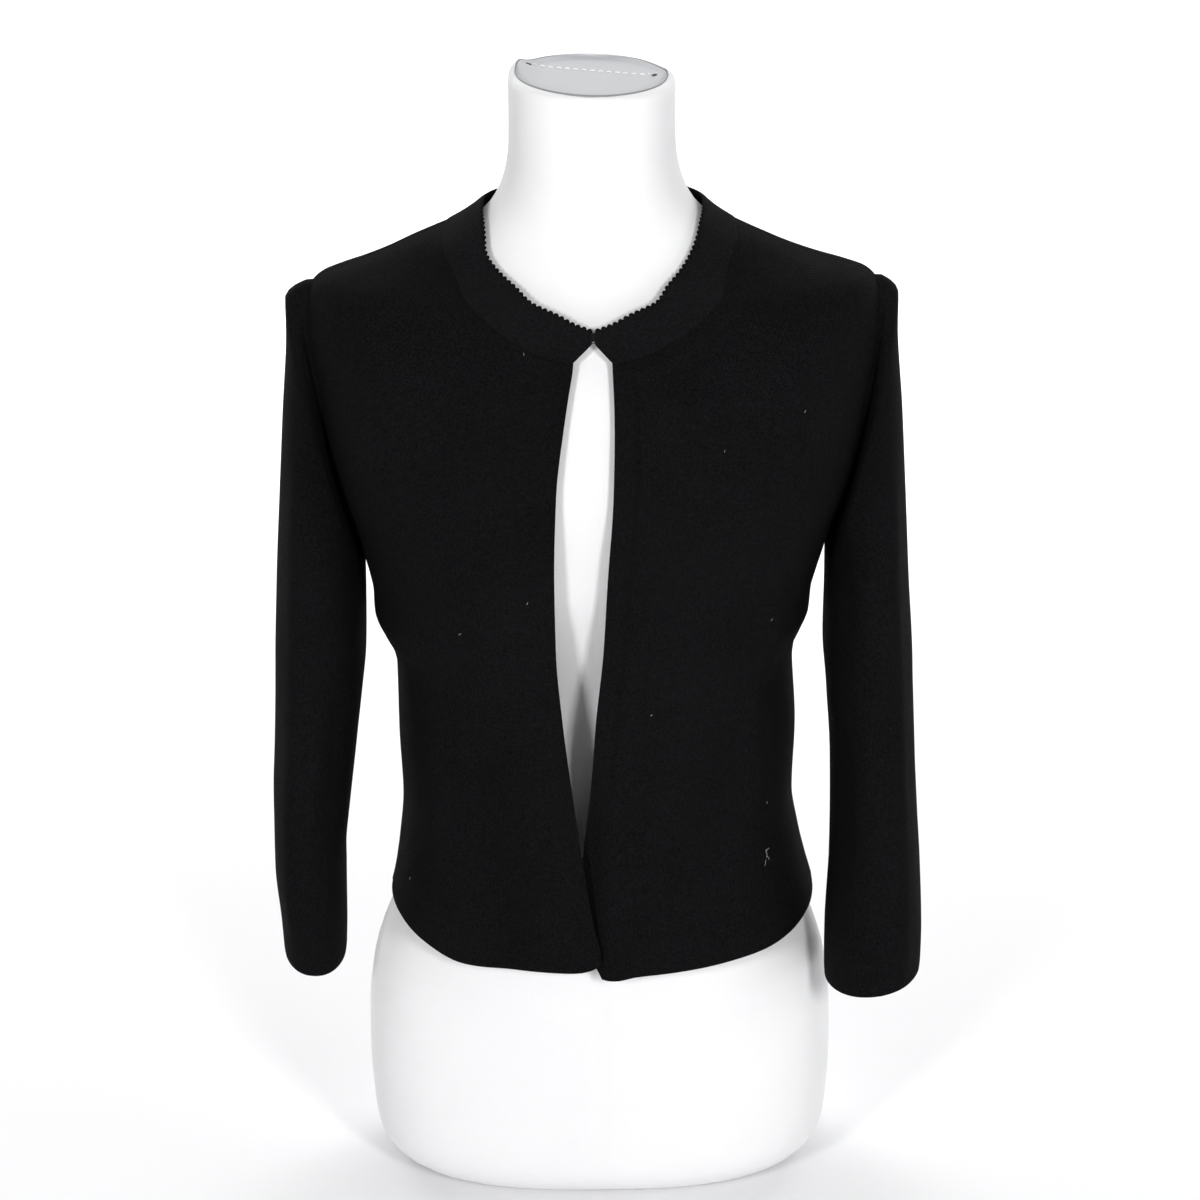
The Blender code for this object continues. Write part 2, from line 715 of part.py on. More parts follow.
def up_the_cloth(line, normal):
    """Unit directions in the cloth and square to a line that goes round it, upwards."""
    up = np.cross(normal, np.gradient(line, axis=0))
    return up / np.linalg.norm(up, axis=-1, keepdims=True)


def band_walls():
    """Inner points, outer points and normals of the neck band."""
    grid = band_grid()
    turns = grid[..., 0]
    heights = grid[..., 1]
    inner = cloth_point(turns, heights)
    normal = outward(cloth_point, turns, heights)
    inner[0] += up_the_cloth(inner[0], normal[0]) * SEAM_GAP
    return inner, inner + normal * BAND_CLOTH, normal


def make_neck_band(material):
    inner, outer, _ = band_walls()
    add_wall("neck_band", inner, outer, material)


def along_line(line, count):
    """Points and the shares of their two neighbours at even distances along a line."""
    lengths = np.linalg.norm(np.diff(line, axis=0), axis=-1)
    run = np.concatenate([[0], np.cumsum(lengths)])
    places = np.linspace(0, run[-1], count)
    i = np.clip(np.searchsorted(run, places, side="right") - 1, 0, len(lengths) - 1)
    return i, ((places - run[i]) / lengths[i])[:, None]


def make_picot_edge(material):
    """Small scallops along the band's free edge, a valley and a peak by turns."""
    inner, outer, normal = band_walls()
    line = (inner[-1] + outer[-1]) / 2
    upward = up_the_cloth(line, normal[-1])
    length = np.linalg.norm(np.diff(line, axis=0), axis=-1).sum()
    bumps = round(length / PICOT_PITCH)
    i, share = along_line(line, 2 * bumps + 1)
    base = line[i] * (1 - share) + line[i + 1] * share
    up = upward[i] * (1 - share) + upward[i + 1] * share
    facing = normal[-1][i] * (1 - share) + normal[-1][i + 1] * share
    reach = np.where(np.arange(len(i)) % 2 == 1, PICOT_PEAK, PICOT_VALLEY)[:, None]
    low = base + up * SEAM_GAP
    high = low + up * reach
    half = facing * PICOT_CLOTH / 2
    inside = np.array([low - half, high - half])
    outside = np.array([low + half, high + half])
    add_wall("picot_edge", inside, outside, material)


def add_wire(name, path, material):
    """A round wire along points given in millimetres, with flat ends."""
    curve = bpy.data.curves.new(name, "CURVE")
    curve.dimensions = "3D"
    curve.bevel_depth = WIRE_RADIUS * MM
    curve.bevel_resolution = 1
    curve.use_fill_caps = True
    spline = curve.splines.new("POLY")
    spline.points.add(len(path) - 1)
    for point, place in zip(spline.points, path):
        point.co = (*(np.asarray(place) * MM), 1)
    curve.materials.append(material)
    wire = bpy.data.objects.new(name, curve)
    PARTS.objects.link(wire)
    return wire


def fastening_frame():
    """Middle point behind the band's ends, and the directions across, up and out."""
    height = np.array(FASTENING_HEIGHT)
    turn = turn_at_side(height, 0.0)
    out = outward(cloth_point, turn, height)
    across = np.array([1.0, 0.0, 0.0])
    return cloth_point(turn, height), across, np.cross(across, out), out


def make_eye(material):
    """A U of wire behind the right front's band end, its bend in the gap."""
    origin, across, up, out = fastening_frame()
    bend = 1.5
    depth = -WIRE_RADIUS - SEAM_GAP
    local = [(-6.5, -bend, depth)]
    for step in range(7):
        angle = math.radians(-90 + 30 * step)
        local.append((-0.5 + bend * math.cos(angle), bend * math.sin(angle), depth))
    local.append((-6.5, bend, depth))
    path = [origin + x * across + u * up + n * out for x, u, n in local]
    add_wire("eye", path, material)


def make_hook(material):
    """A wire behind the left front's band end that dips under the eye's bend and comes back over it."""
    origin, across, up, out = fastening_frame()
    shank = -WIRE_RADIUS - SEAM_GAP
    local = [
        (6.5, 0, shank),
        (2.9, 0, shank),
        (2.2, 0, -1.1),
        (1.5, 0, -1.9),
        (0.3, 0, -2.0),
        (-0.4, 0, -1.5),
        (-0.55, 0, -0.7),
        (-0.3, 0, 0.1),
        (0.05, 0, 0.5),
        (0.4, 0, 0.5),
    ]
    path = [origin + x * across + u * up + n * out for x, u, n in local]
    add_wire("hook", path, material)


def form_levels():
    """Heights of the form's rings: the rounded base, and then up to the neck."""
    rounding = BASE_ROUNDING * (1 - np.cos(np.radians([0, 35, 65])))
    return np.concatenate([rounding + FORM_RINGS[0][0], FORM_LEVELS])


def make_dress_form(material):
    """One closed limbless torso: rounded flat base, hips, waist, bust, shoulders and neck."""
    turns = np.arange(FORM_COLUMNS) / FORM_COLUMNS * 360
    rings = []
    for level in form_levels():
        ring = ring_point(FORM_RINGS, turns, np.full(FORM_COLUMNS, level))
        up = level - FORM_RINGS[0][0]
        if up < BASE_ROUNDING:
            inset = BASE_ROUNDING - math.sqrt(BASE_ROUNDING**2 - (BASE_ROUNDING - up) ** 2)
            reach = np.linalg.norm(ring[:, :2], axis=-1, keepdims=True)
            ring[:, :2] *= 1 - inset / reach
        rings.append(ring)
    rim = ring_point(FORM_RINGS, turns, np.full(FORM_COLUMNS, CAP_HEIGHT))
    rim[:, 2] = CAP_HEIGHT + CAP_TILT_BACK * rim[:, 1] + CAP_TILT_SIDE * rim[:, 0]
    lip = rim.copy()
    lip[:, :2] *= 1 - CAP_RIM / np.linalg.norm(rim[:, :2], axis=-1, keepdims=True)
    floor = lip.copy()
    floor[:, :2] *= CAP_FLOOR_SHARE
    floor[:, 2] -= CAP_HOLLOW
    rings += [rim, lip, floor]
    points = np.concatenate(rings + [[rings[0].mean(axis=0)], [floor.mean(axis=0)]])
    faces = []
    for level in range(len(rings) - 1):
        for column in range(FORM_COLUMNS):
            after = (column + 1) % FORM_COLUMNS
            low = level * FORM_COLUMNS
            high = low + FORM_COLUMNS
            faces.append((low + column, low + after, high + after, high + column))
    base = len(points) - 2
    top = len(points) - 1
    last = (len(rings) - 1) * FORM_COLUMNS
    for column in range(FORM_COLUMNS):
        after = (column + 1) % FORM_COLUMNS
        faces.append((base, after, column))
        faces.append((top, last + column, last + after))
    add_object("dress_form", points, faces, material)


def plain_material(name, colour, roughness, metallic=0.0):
    material = bpy.data.materials.new(name)
    material.use_nodes = True
    shader = material.node_tree.nodes["Principled BSDF"]
    shader.inputs["Base Color"].default_value = (*colour, 1.0)
    shader.inputs["Roughness"].default_value = roughness
    shader.inputs["Metallic"].default_value = metallic
    return material


def clear_scene():
    for thing in list(bpy.data.objects):
        bpy.data.objects.remove(thing, do_unlink=True)


clear_scene()
PARTS = bpy.data.collections.new("cardigan_on_dress_form")
bpy.context.scene.collection.children.link(PARTS)

make_dress_form(plain_material("white_jersey", (0.87, 0.87, 0.88), 0.85))
make_fronts(plain_material("black_knit_fronts", (0.012, 0.012, 0.013), 0.9))
make_back(plain_material("black_knit_back", (0.012, 0.012, 0.013), 0.9))
make_sleeves(plain_material("black_knit_sleeves", (0.012, 0.012, 0.013), 0.9))
make_neck_band(plain_material("black_knit_band", (0.011, 0.011, 0.012), 0.88))
make_picot_edge(plain_material("black_picot", (0.011, 0.011, 0.012), 0.88))
make_eye(plain_material("eye_metal", (0.35, 0.27, 0.20), 0.35, 1.0))
make_hook(plain_material("hook_metal", (0.35, 0.27, 0.20), 0.35, 1.0))
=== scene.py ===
"""Looks of a cropped black knit cardigan on a white dress form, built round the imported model.

Everything is in metres in the part's frame: +Z up, the form's front faces -Y, the origin is
in the middle of its flat base. Sizes in the tables are in millimetres and angles in degrees.
Turns go round the body: 0 is the centre front, 90 the wearer's left side, 180 the back.
"""
import math

import bpy
import numpy as np
from mathutils import Matrix, Vector


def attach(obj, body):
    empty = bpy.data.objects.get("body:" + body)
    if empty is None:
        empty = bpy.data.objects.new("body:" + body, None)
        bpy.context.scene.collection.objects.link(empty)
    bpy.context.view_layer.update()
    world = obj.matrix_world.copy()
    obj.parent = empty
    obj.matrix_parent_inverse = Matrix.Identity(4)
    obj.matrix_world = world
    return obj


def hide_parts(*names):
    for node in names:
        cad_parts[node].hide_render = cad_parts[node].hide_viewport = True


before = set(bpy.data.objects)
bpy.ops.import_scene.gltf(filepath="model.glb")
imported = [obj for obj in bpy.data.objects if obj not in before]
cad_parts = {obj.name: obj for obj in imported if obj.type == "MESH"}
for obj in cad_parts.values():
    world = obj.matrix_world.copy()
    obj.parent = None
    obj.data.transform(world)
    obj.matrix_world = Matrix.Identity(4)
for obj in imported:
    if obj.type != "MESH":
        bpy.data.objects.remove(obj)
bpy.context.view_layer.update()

MM = 0.001
# Fine grids: this many steps for each step of the solids' grids
REFINE = 6
# Thickness of the cloth and the band, gap at seams, and how fast folds fade at the sides
CLOTH = 1.5
BAND_CLOTH = 2.4
SEAM_GAP = 0.3
FADE_AT_SIDE = 3.0
# Dress form, as level rings: height, half width, front depth, back depth, squareness
FORM_RINGS = (
    (0, 150, 99, 112, 2.35),
    (46, 158, 103, 118, 2.35),
    (86, 160, 103.5, 121, 2.35),
    (116, 159.5, 103, 121, 2.35),
    (146, 156, 101, 119, 2.35),
    (166, 150.5, 99, 115.5, 2.3),
    (196, 138.9, 94, 108, 2.3),
    (246, 125.5, 86, 95, 2.3),
    (301, 119, 82, 84, 2.3),
    (356, 124, 88, 86, 2.3),
    (406, 133, 100, 92, 2.35),
    (446, 141, 109, 96, 2.4),
    (496, 152, 109.5, 99, 2.5),
    (546, 165, 101, 99, 2.6),
    (576, 173, 93, 97, 2.6),
    (603, 176.5, 83.5, 92, 2.45),
    (614, 173, 79, 87.5, 2.2),
    (622, 166, 75, 82.5, 1.98),
    (629, 156, 71.5, 78.3, 1.82),
    (637, 144, 68.4, 74.8, 1.73),
    (645.5, 131.5, 65.2, 71.5, 1.7),
    (653.5, 112.5, 62.8, 69.2, 1.7),
    (660.5, 95.5, 61, 67.8, 1.75),
    (666, 84.5, 60.2, 67, 1.85),
    (672, 75.8, 59.6, 66.4, 1.95),
    (678, 69.2, 59.1, 65.8, 2),
    (685, 64.2, 58.7, 65.2, 2.05),
    (694, 60, 58.3, 64.3, 2.1),
    (706, 56.6, 57.9, 63.2, 2.15),
    (720, 54.8, 57.5, 62.4, 2.2),
    (751, 54.4, 57.2, 62, 2.3),
    (776, 54.4, 57.2, 62, 2.3),
)
BASE_ROUNDING = 30.0
CAP_HEIGHT = 764.0
CAP_TILT_BACK = 0.036
CAP_TILT_SIDE = -0.03
# Inside of the worn cloth, as level rings in the same columns
CLOTH_RINGS = (
    (156, 145.5, 116, 121.5, 2.3),
    (181, 144.7, 116, 114, 2.3),
    (196, 143.9, 116, 110, 2.3),
    (216, 139.7, 116, 107.5, 2.3),
    (238, 135.5, 116.5, 106, 2.3),
    (271, 131.5, 117, 104.5, 2.3),
    (321, 133.3, 119, 103.5, 2.3),
    (366, 132.3, 121, 103, 2.3),
    (382, 134.5, 121.8, 103, 2.35),
    (394, 140, 122.3, 103, 2.4),
    (406, 145, 122.6, 103, 2.4),
    (421, 146, 122.8, 103, 2.4),
    (434, 149, 122.8, 103, 2.4),
    (446, 152.5, 122.5, 103.2, 2.4),
    (466, 158, 121.5, 103.4, 2.45),
    (496, 169, 118, 103.2, 2.55),
    (526, 176.5, 112, 102.6, 2.65),
    (556, 181.5, 104.5, 101, 2.7),
    (576, 184.5, 99, 99.5, 2.7),
    (600, 188, 91.5, 96, 2.55),
    (614, 188, 87, 92, 2.38),
    (624, 186.5, 83, 87.8, 2.14),
    (630, 182.5, 79.8, 84, 1.96),
    (635, 171.5, 77, 80.6, 1.82),
    (640.5, 154.8, 74, 77.5, 1.74),
    (648, 135, 70.2, 74, 1.7),
    (656, 117, 67, 71.5, 1.7),
    (663.5, 99.5, 64.6, 70, 1.75),
    (668.5, 88.8, 63.4, 69.2, 1.85),
    (674, 79.8, 62.4, 68.5, 1.95),
    (680, 73, 61.8, 67.8, 2),
    (686.5, 67.7, 61.2, 67.2, 2.05),
    (695.5, 63.2, 60.8, 66.4, 2.1),
    (708, 59.8, 60.4, 65.3, 2.15),
)
# Bust: rise over the rings, distance from the middle, spread sideways and up, and height
BUST_RISE = 12.0
BUST_APART = 66.0
BUST_SPREAD = 40.0
BUST_TALL = 62.0
BUST_HEIGHT = 461.0
# Hem of the body by turn from the centre front: turn, height
HEM = (
    (0, 177),
    (3.5, 176.8),
    (9, 179),
    (20, 180.2),
    (30, 181.2),
    (45, 183.8),
    (58, 188),
    (72, 194),
    (90, 197),
    (130, 189),
    (160, 190.5),
    (200, 187.5),
    (230, 190),
    (270, 201),
    (290, 195.5),
    (306, 187.5),
    (322, 180.5),
    (336, 182.7),
    (350, 183),
    (360, 183.5),
)
CORNER_RISE = 7.0
CORNER_SHARPNESS = 5
# Front edges: height, the right front's edge, the left front's edge (sideways from the middle)
FRONT_EDGES = (
    (176, 2, -14),
    (193, 1.1, -14),
    (216, -3.7, -13),
    (262.5, -10.8, -10),
    (310.6, -16.8, -4.5),
    (358.6, -22.3, -1),
    (410, -26.3, 4.5),
    (460, -27, 7.8),
    (514, -25.1, 11.9),
    (558, -19.4, 12.9),
    (596, -12.7, 11.6),
    (616, -8, 8),
)
# Sideways lean of the worn cloth: height, shift to the wearer's left
CLOTH_LEAN = (
    (156, 2.6),
    (196, 2.5),
    (238, 1),
    (271, 0),
    (321, 0),
    (366, -1.3),
    (406, -3),
    (436, -2),
    (476, -1),
    (576, 0),
    (606, -0.5),
    (629, 0.5),
    (642, -1.5),
    (656, -2.8),
    (668, -1),
    (690, 0.5),
    (716, 0.5),
)
# The left front's lower corner, which passes behind the right front
TUCK_DEPTH = 9.0
TUCK_START = 9.0
TUCK_RUN = 15.0
TUCK_TOP = 346.0
TUCK_FADE = 70.0
# Neckline by station (0 at the centre front, 8 at the shoulder, 14 at the nape): turn and
# height of the band's seam, then of its free edge
NECKLINE = (
    (0, 0, 594, 0, 614.5),
    (1, 5, 597.5, 4, 619),
    (2, 10, 601.5, 7.5, 624.5),
    (3, 15, 609, 12.7, 630.5),
    (4, 20.5, 620, 18, 638.5),
    (5, 27.5, 632, 27, 647.5),
    (6, 39, 644, 41, 659.2),
    (7, 60, 657.5, 65, 674.5),
    (8, 90, 666, 90, 681.5),
    (9, 113, 664, 110, 679),
    (10, 129, 663, 127, 679),
    (12, 155, 662, 154, 680.5),
    (14, 180, 661.5, 180, 682.5),
)
SHOULDER_STATION = 8
NAPE_STATION = 14
BAND_END_GAP = 1.9
BAND_END_SPLAY = 0.62
BAND_STEPS = 14
# Picot edge
PICOT_PITCH = 4.0
PICOT_VALLEY = 0.5
PICOT_PEAK = 2.1
# Armhole
ARMHOLE_TOP = 629.0
ARMHOLE_FOOT = 446.0
ARMHOLE_REACH = 36.0
ARMHOLE_SIDE_STEPS = 14 * REFINE
# Sleeve outsides by height: height, outer edge, inner edge, middle depth, half depth
SLEEVE_RIGHT = (
    (164.5, 215, 173.5, -35, 49),
    (191, 217, 172.5, -32, 50),
    (227, 220.5, 172, -28, 51.5),
    (271, 220.8, 167.5, -23, 53.5),
    (321, 218.5, 161.5, -17, 56.5),
    (371, 216.8, 156, -11, 61),
    (428, 214.5, 155, -6, 65),
    (486, 211, 155.5, -3, 61),
    (546, 207, 156, -1, 51),
    (596, 203.8, 158, 0, 42),
    (636, 203.6, 160, 0, 31),
)
SLEEVE_LEFT = (
    (153, 218, 153.5, -57, 46),
    (191, 219.5, 154, -50, 48),
    (234, 218.3, 156.5, -42, 51),
    (301, 215, 157.5, -29, 55),
    (351, 213.5, 155, -19, 59),
    (381, 212.5, 153, -14, 62),
    (428, 210, 154, -8, 65),
    (486, 207.5, 154, -4, 61),
    (546, 204.5, 156, -1, 51),
    (596, 201.5, 158, 0, 42),
    (636, 201.5, 160, 0, 31),
)
SLEEVE_SQUARENESS = 2.15
RIGHT_HEM_RISE = 5.0
LEFT_HEM_RISE = 8.0
SLEEVE_LEAD = 5.0
SLEEVE_HEAD_TURN = 45.0
SLEEVE_UNDERARM_TURN = 56.0
UNDERARM_EASE = 1.0
CAP_BLEND = 11.0
CAP_FOOT = 421.0
SLEEVE_ROWS_BELOW = 60
# Sleeve folds: turn round the sleeve (0 outside, 90 front), top and low heights, spread, rise
SLEEVE_RIGHT_FOLDS = (
    (62, 496, 206, 13, 1.8),
    (122, 356, 276, 24, -3.5),
    (205, 346, 256, 26, -3),
    (300, 366, 266, 24, -2.5),
)
SLEEVE_LEFT_FOLDS = (
    (58, 486, 181, 12, 2),
    (128, 446, 346, 22, -2.5),
    (140, 316, 206, 24, -3.5),
    (230, 346, 246, 26, -3),
)
# Body folds: sideways place and height of the upper end and the lower end, spread, rise
FRONT_FOLDS = (
    (-124, 396, -121, 316, 7, 2.8),
    (-108, 366, -110, 256, 8, 2.4),
    (-76, 326, -62, 206, 12, -4.5),
    (-42, 316, -34, 216, 14, 2),
    (122, 404, 106, 366, 6, 2.6),
    (103, 372, 109, 278, 7, 2.8),
    (84, 346, 78, 216, 12, -3.5),
    (46, 316, 40, 206, 14, 2),
)
BACK_FOLDS = (
    (-96, 376, -88, 226, 13, -4),
    (-52, 346, -46, 206, 15, 2.5),
    (-8, 366, -4, 216, 16, -3),
    (48, 336, 52, 211, 14, 2.5),
    (92, 366, 98, 221, 13, -4),
)
FOLD_FADE = 30.0
# Panel grids
FRONT_COLUMNS = 12 * REFINE
SIDE_STEPS = 12 * REFINE
NECK_STEPS = 10 * REFINE
BACK_SHOULDER_STEPS = 7 * REFINE
BACK_NECK_STEPS = 14 * REFINE
TOP_SHAPE_POWER = 3
CAP_ROWS = 30
# Cloth run in mm for a degree round a sleeve and round the body
SLEEVE_MM_A_DEGREE = 0.65
BODY_MM_A_DEGREE = 2.3
# Thinner edges, the bead along the hem, slow waves, and how far in from a seam they set in
EDGE_TAPER = 0.3
HEM_BEAD = 0.35
HEM_BEAD_REACH = 3.5
WAVE_RISE = 0.35
PANEL_FADE = 14.0
SLEEVE_FADE = 25.0
# Small creases of the fronts: two ends (sideways, height), spread, rise
FRONT_CREASES = (
    (-146, 470, -112, 506, 4, -1.1),
    (-142, 452, -104, 474, 5, 0.9),
    (-136, 434, -98, 440, 4, -0.9),
    (146, 468, 112, 502, 4, -1.1),
    (142, 452, 104, 472, 5, 0.9),
    (134, 432, 98, 436, 4, -0.9),
    (-30, 250, -24, 190, 6, 0.8),
    (-52, 262, -50, 196, 6, -0.7),
    (30, 262, 26, 192, 6, 0.7),
    (62, 282, 58, 200, 6, -0.7),
    (-92, 262, -84, 198, 5, 0.8),
    (98, 262, 92, 204, 5, 0.8),
)
BACK_CREASES = (
    (-146, 462, -108, 500, 5, -1.2),
    (-140, 440, -98, 452, 5, 1),
    (146, 462, 108, 500, 5, -1.2),
    (140, 440, 98, 452, 5, 1),
    (-60, 330, 40, 318, 7, 1.1),
    (-40, 300, 62, 292, 6, -0.9),
    (-30, 620, 34, 622, 8, 0.7),
    (0, 250, 4, 200, 6, 0.8),
    (-72, 262, -68, 204, 6, -0.8),
    (70, 262, 72, 204, 6, -0.8),
)
# Small creases of the sleeves: two ends (angle round the sleeve, height), spread, rise
SLEEVE_CREASES = (
    (150, 430, 80, 396, 6, -1),
    (160, 400, 96, 376, 6, 0.9),
    (120, 352, 40, 338, 7, -0.9),
    (150, 330, 70, 312, 6, 0.9),
    (210, 420, 280, 392, 6, -1),
    (204, 392, 270, 372, 6, 0.9),
    (230, 340, 320, 328, 7, -0.9),
    (100, 262, 92, 186, 6, 0.8),
    (20, 300, 24, 186, 7, -0.7),
    (318, 300, 322, 186, 7, 0.8),
)
# The band's lip over the seam: how far it laps, how much thinner it gets, its clearance
BAND_EDGE_TAPER = 0.4
LIP_ROWS = (1.3, 0.7, 0.02)
LIP_SINKS = (0.25, 0.05, 0.0)
LIP_CLEAR = 0.06
# Picot edge: steps in each scallop, how far its root goes in, and its section as shares of
# its height with half thicknesses
PICOT_STEPS = 12
PICOT_ROOT = 0.7
PICOT_SECTION = ((0.0, 0.65), (0.35, 0.62), (0.7, 0.5), (0.9, 0.34), (1.0, 0.16))
# The form's cover: steps round and up, and its rolled rim
COVER_COLUMNS = 180
COVER_STEP = 5.0
COVER_TOP = 757.0
BASE_STEPS = 8
LIP_RADIUS = 4.5
LIP_STEPS = 5
# The sunk lens of the top: its half sizes, middle, how deep it sinks, how pointed it is, how
# softly it sinks, then the rings towards it and in it and the rows along its rim painted dark grey as
# shade, more of them at the front
LENS_LONG = 50.0
LENS_DEEP = 58.0
LENS_MIDDLE = 4.5
LENS_SUNK = 2.6
LENS_POINT = 0.56
LENS_EDGE = 6.0
LIP_TO_LENS = (0.35, 0.7, 0.9, 1.0)
LENS_SHARES = (0.985, 0.955, 0.925, 0.89, 0.85, 0.81, 0.75, 0.65, 0.5, 0.3, 0.12)
FRONT_SHADE_ROWS = 4
BACK_SHADE_ROWS = 1
# Rolled ends of the rim: place sideways and in depth, spread each way, rise
HORNS = ((-46.0, 16.0, 9.0, 17.0, 5.5), (47.0, 8.0, 8.0, 14.0, 2.5))
SEAM_DEPTH = 0.45
SEAM_SPREAD = 1.3
SEAM_FADE = 30.0
# Seams of the cover, sunk into it: turn, lowest height, highest height
COVER_SEAMS = (
    (0, 30, 750),
    (-47, 30, 420),
    (47, 30, 420),
    (90, 30, 600),
    (180, 30, 750),
    (270, 30, 600),
    (140, 30, 520),
    (220, 30, 520),
)
# Eyelets and stitches on the lens
GROMMET_RADIUS = 1.3
GROMMET_WIRE = 0.55
GROMMET_LIFT = 0.3
STITCH_LONG = 3.2
STITCH_GAP = 2.4
STITCH_RADIUS = 0.6
STITCH_ARCH = 0.5
STITCH_LIFT = 0.1
STITCH_LINE = ((-39.0, 33.0), (38.0, 14.0))
GROMMETS = ((-41.0, 27.0), (41.0, 9.0))
# The thick seam along the front of the sunk panel, dark grey as painted shade: its reach to each
# side in degrees from the front, and its half thickness in the middle
RIM_SEAM_SHADE_REACH = 84.0
RIM_SEAM_SHADE_HALF = 0.95
# Black thread bars over the hook and eye: how far each lies above the hook, then its sizes
THREAD_BARS = (0.1, 0.8, 1.5, 2.2, 2.9, 3.6, 4.3, 4.9)
BAR_HALF = 1.8
BAR_DEPTH = 1.3
BAR_RADIUS = 0.42
BAR_BOW = 0.25
BAR_SLANT = 0.2
HOOK_HEIGHT = 610.0
# Camera: as in the photograph, from a little above and in front
CAMERA_PLACE = (0.0, -2.75, 1.351)
CAMERA_TILT = 19.0
CAMERA_ROLL = -0.5
CAMERA_LENS = 129.0
CAMERA_SHIFT = 0.0033
# Soft lights: name, place, what it points at, width, height, power
LIGHTS = (
    ("key_left", (-2.2, -3.95, 1.8), (0, 0, 0.42), 0.75, 1.0, 98.0),
    ("key_right", (1.85, -4.12, 1.85), (0, 0, 0.42), 0.75, 1.0, 102.0),
    ("side_right", (2.7, -0.7, 0.9), (0, 0, 0.45), 1.0, 1.2, 10.0),
    ("top", (0.0, 0.3, 3.0), (0, 0.1, 0.5), 2.4, 2.2, 25.0),
    ("back_left", (-1.9, 3.4, 1.7), (0, 0, 0.45), 1.4, 1.4, 30.0),
    ("back_right", (1.9, 3.4, 1.7), (0, 0, 0.45), 1.4, 1.4, 30.0),
    ("far_floor", (0.0, 3.3, 2.4), (0, 3.4, 0), 7.0, 3.6, 180.0),
)
WORLD_STRENGTH = 0.05
# Lint on the cloth: sideways place and height on the front, length, direction in degrees
LINT = (
    (112, 248.5, 5.5, 80),
    (112.8, 245.5, 4.5, 100),
    (111.2, 242.5, 3.5, 60),
    (112.6, 250.5, 2.5, 20),
    (111.9, 285.2, 1.6, 70),
    (-85.3, 642.9, 1.6, 60),
    (-87.9, 421.1, 1.8, 20),
    (35.2, 365.8, 1.5, 10),
    (-44.5, 446.7, 1.5, 40),
    (-126.4, 223.7, 1.5, 60),
    (-44.8, 602.2, 1.5, 80),
    (135.4, 560.4, 1.5, 30),
    (83.1, 540.6, 1.4, 70),
    (114, 419.9, 1.6, 30),
    (98.8, 231.8, 1.5, 50),
)
LINT_RADIUS = 0.13


def smooth_column(table, column, at):
    """One column of a table at any place along it, on a curve that never overshoots its rows."""
    rows = np.array(table, float)
    places = rows[:, 0]
    values = rows[:, column]
    steps = np.diff(places)
    slopes = np.diff(values) / steps
    before = slopes[:-1]
    after = slopes[1:]
    same_way = before * after > 0
    safe_sum = np.where(same_way, before + after, 1.0)
    middle = np.where(same_way, 2 * before * after / safe_sum, 0.0)
    tangents = np.concatenate([slopes[:1], middle, slopes[-1:]])
    at = np.clip(at, places[0], places[-1])
    i = np.clip(np.searchsorted(places, at, side="right") - 1, 0, len(steps) - 1)
    h = steps[i]
    t = (at - places[i]) / h
    rise = (3 - 2 * t) * t * t
    lead_in = t * (1 - t) ** 2 * h * tangents[i]
    lead_out = t * t * (t - 1) * h * tangents[i + 1]
    return values[i] * (1 - rise) + values[i + 1] * rise + lead_in + lead_out


def smooth_step(t):
    """0 below 0, 1 above 1, and a soft rise between."""
    t = np.clip(t, 0.0, 1.0)
    return (3 - 2 * t) * t * t


def bell(distance, spread):
    return np.exp(-((distance / spread) ** 2))


def ring_columns(rings, height):
    return [smooth_column(rings, column, height) for column in (1, 2, 3, 4)]


def sine_cosine(degrees):
    radians = np.radians(degrees)
    return np.sin(radians), np.cos(radians)


def unit(vectors):
    return vectors / np.linalg.norm(vectors, axis=-1, keepdims=True)


def ring_point(rings, turn, height):
    """A point on a body of level rings, with the bust on its front."""
    height = np.asarray(height, float)
    half_width, front, back, squareness = ring_columns(rings, height)
    sine, cosine = sine_cosine(turn)
    reach = (np.abs(sine) ** squareness + np.abs(cosine) ** squareness) ** (-1 / squareness)
    x = half_width * sine * reach
    y = -np.where(cosine > 0, front, back) * cosine * reach
    bust = BUST_RISE * bell(np.abs(x) - BUST_APART, BUST_SPREAD)
    bust = bust * bell(height - BUST_HEIGHT, BUST_TALL) * smooth_step(cosine * FADE_AT_SIDE)
    return np.stack(np.broadcast_arrays(x, y - bust, height), axis=-1)


def fold_fade(top, low, height):
    """How much of a fold shows at a height: all between its ends, less beyond them."""
    fade = smooth_step((top + FOLD_FADE - height) / FOLD_FADE)
    return fade * smooth_step((height - low + FOLD_FADE) / FOLD_FADE)


def fold_rise(folds, x, height):
    """Height of all soft folds of a panel at a place on it."""
    total = np.zeros(np.broadcast(x, height).shape)
    for top_x, top, low_x, low, spread, rise in folds:
        along = np.clip((top - height) / (top - low), 0, 1)
        centre = top_x + (low_x - top_x) * along
        total = total + rise * fold_fade(top, low, height) * bell(x - centre, spread)
    return total


def cloth_point(turn, height):
    """A point on the inside of the worn body of the cardigan."""
    point = ring_point(CLOTH_RINGS, turn, height)
    cosine = sine_cosine(turn)[1]
    x = point[..., 0]
    front = fold_rise(FRONT_FOLDS, x, height) * smooth_step(cosine * FADE_AT_SIDE)
    back = fold_rise(BACK_FOLDS, x, height) * smooth_step(-cosine * FADE_AT_SIDE)
    point[..., 1] += back - front
    point[..., 0] += smooth_column(CLOTH_LEAN, 1, height)
    return point


def tucked_point(turn, height):
    """The left front, whose lower corner goes back behind the right front."""
    point = cloth_point(turn, height)
    sideways = smooth_step((TUCK_START - point[..., 0]) / TUCK_RUN)
    low = smooth_step((TUCK_TOP - point[..., 2]) / TUCK_FADE)
    point[..., 1] += TUCK_DEPTH * sideways * low
    return point


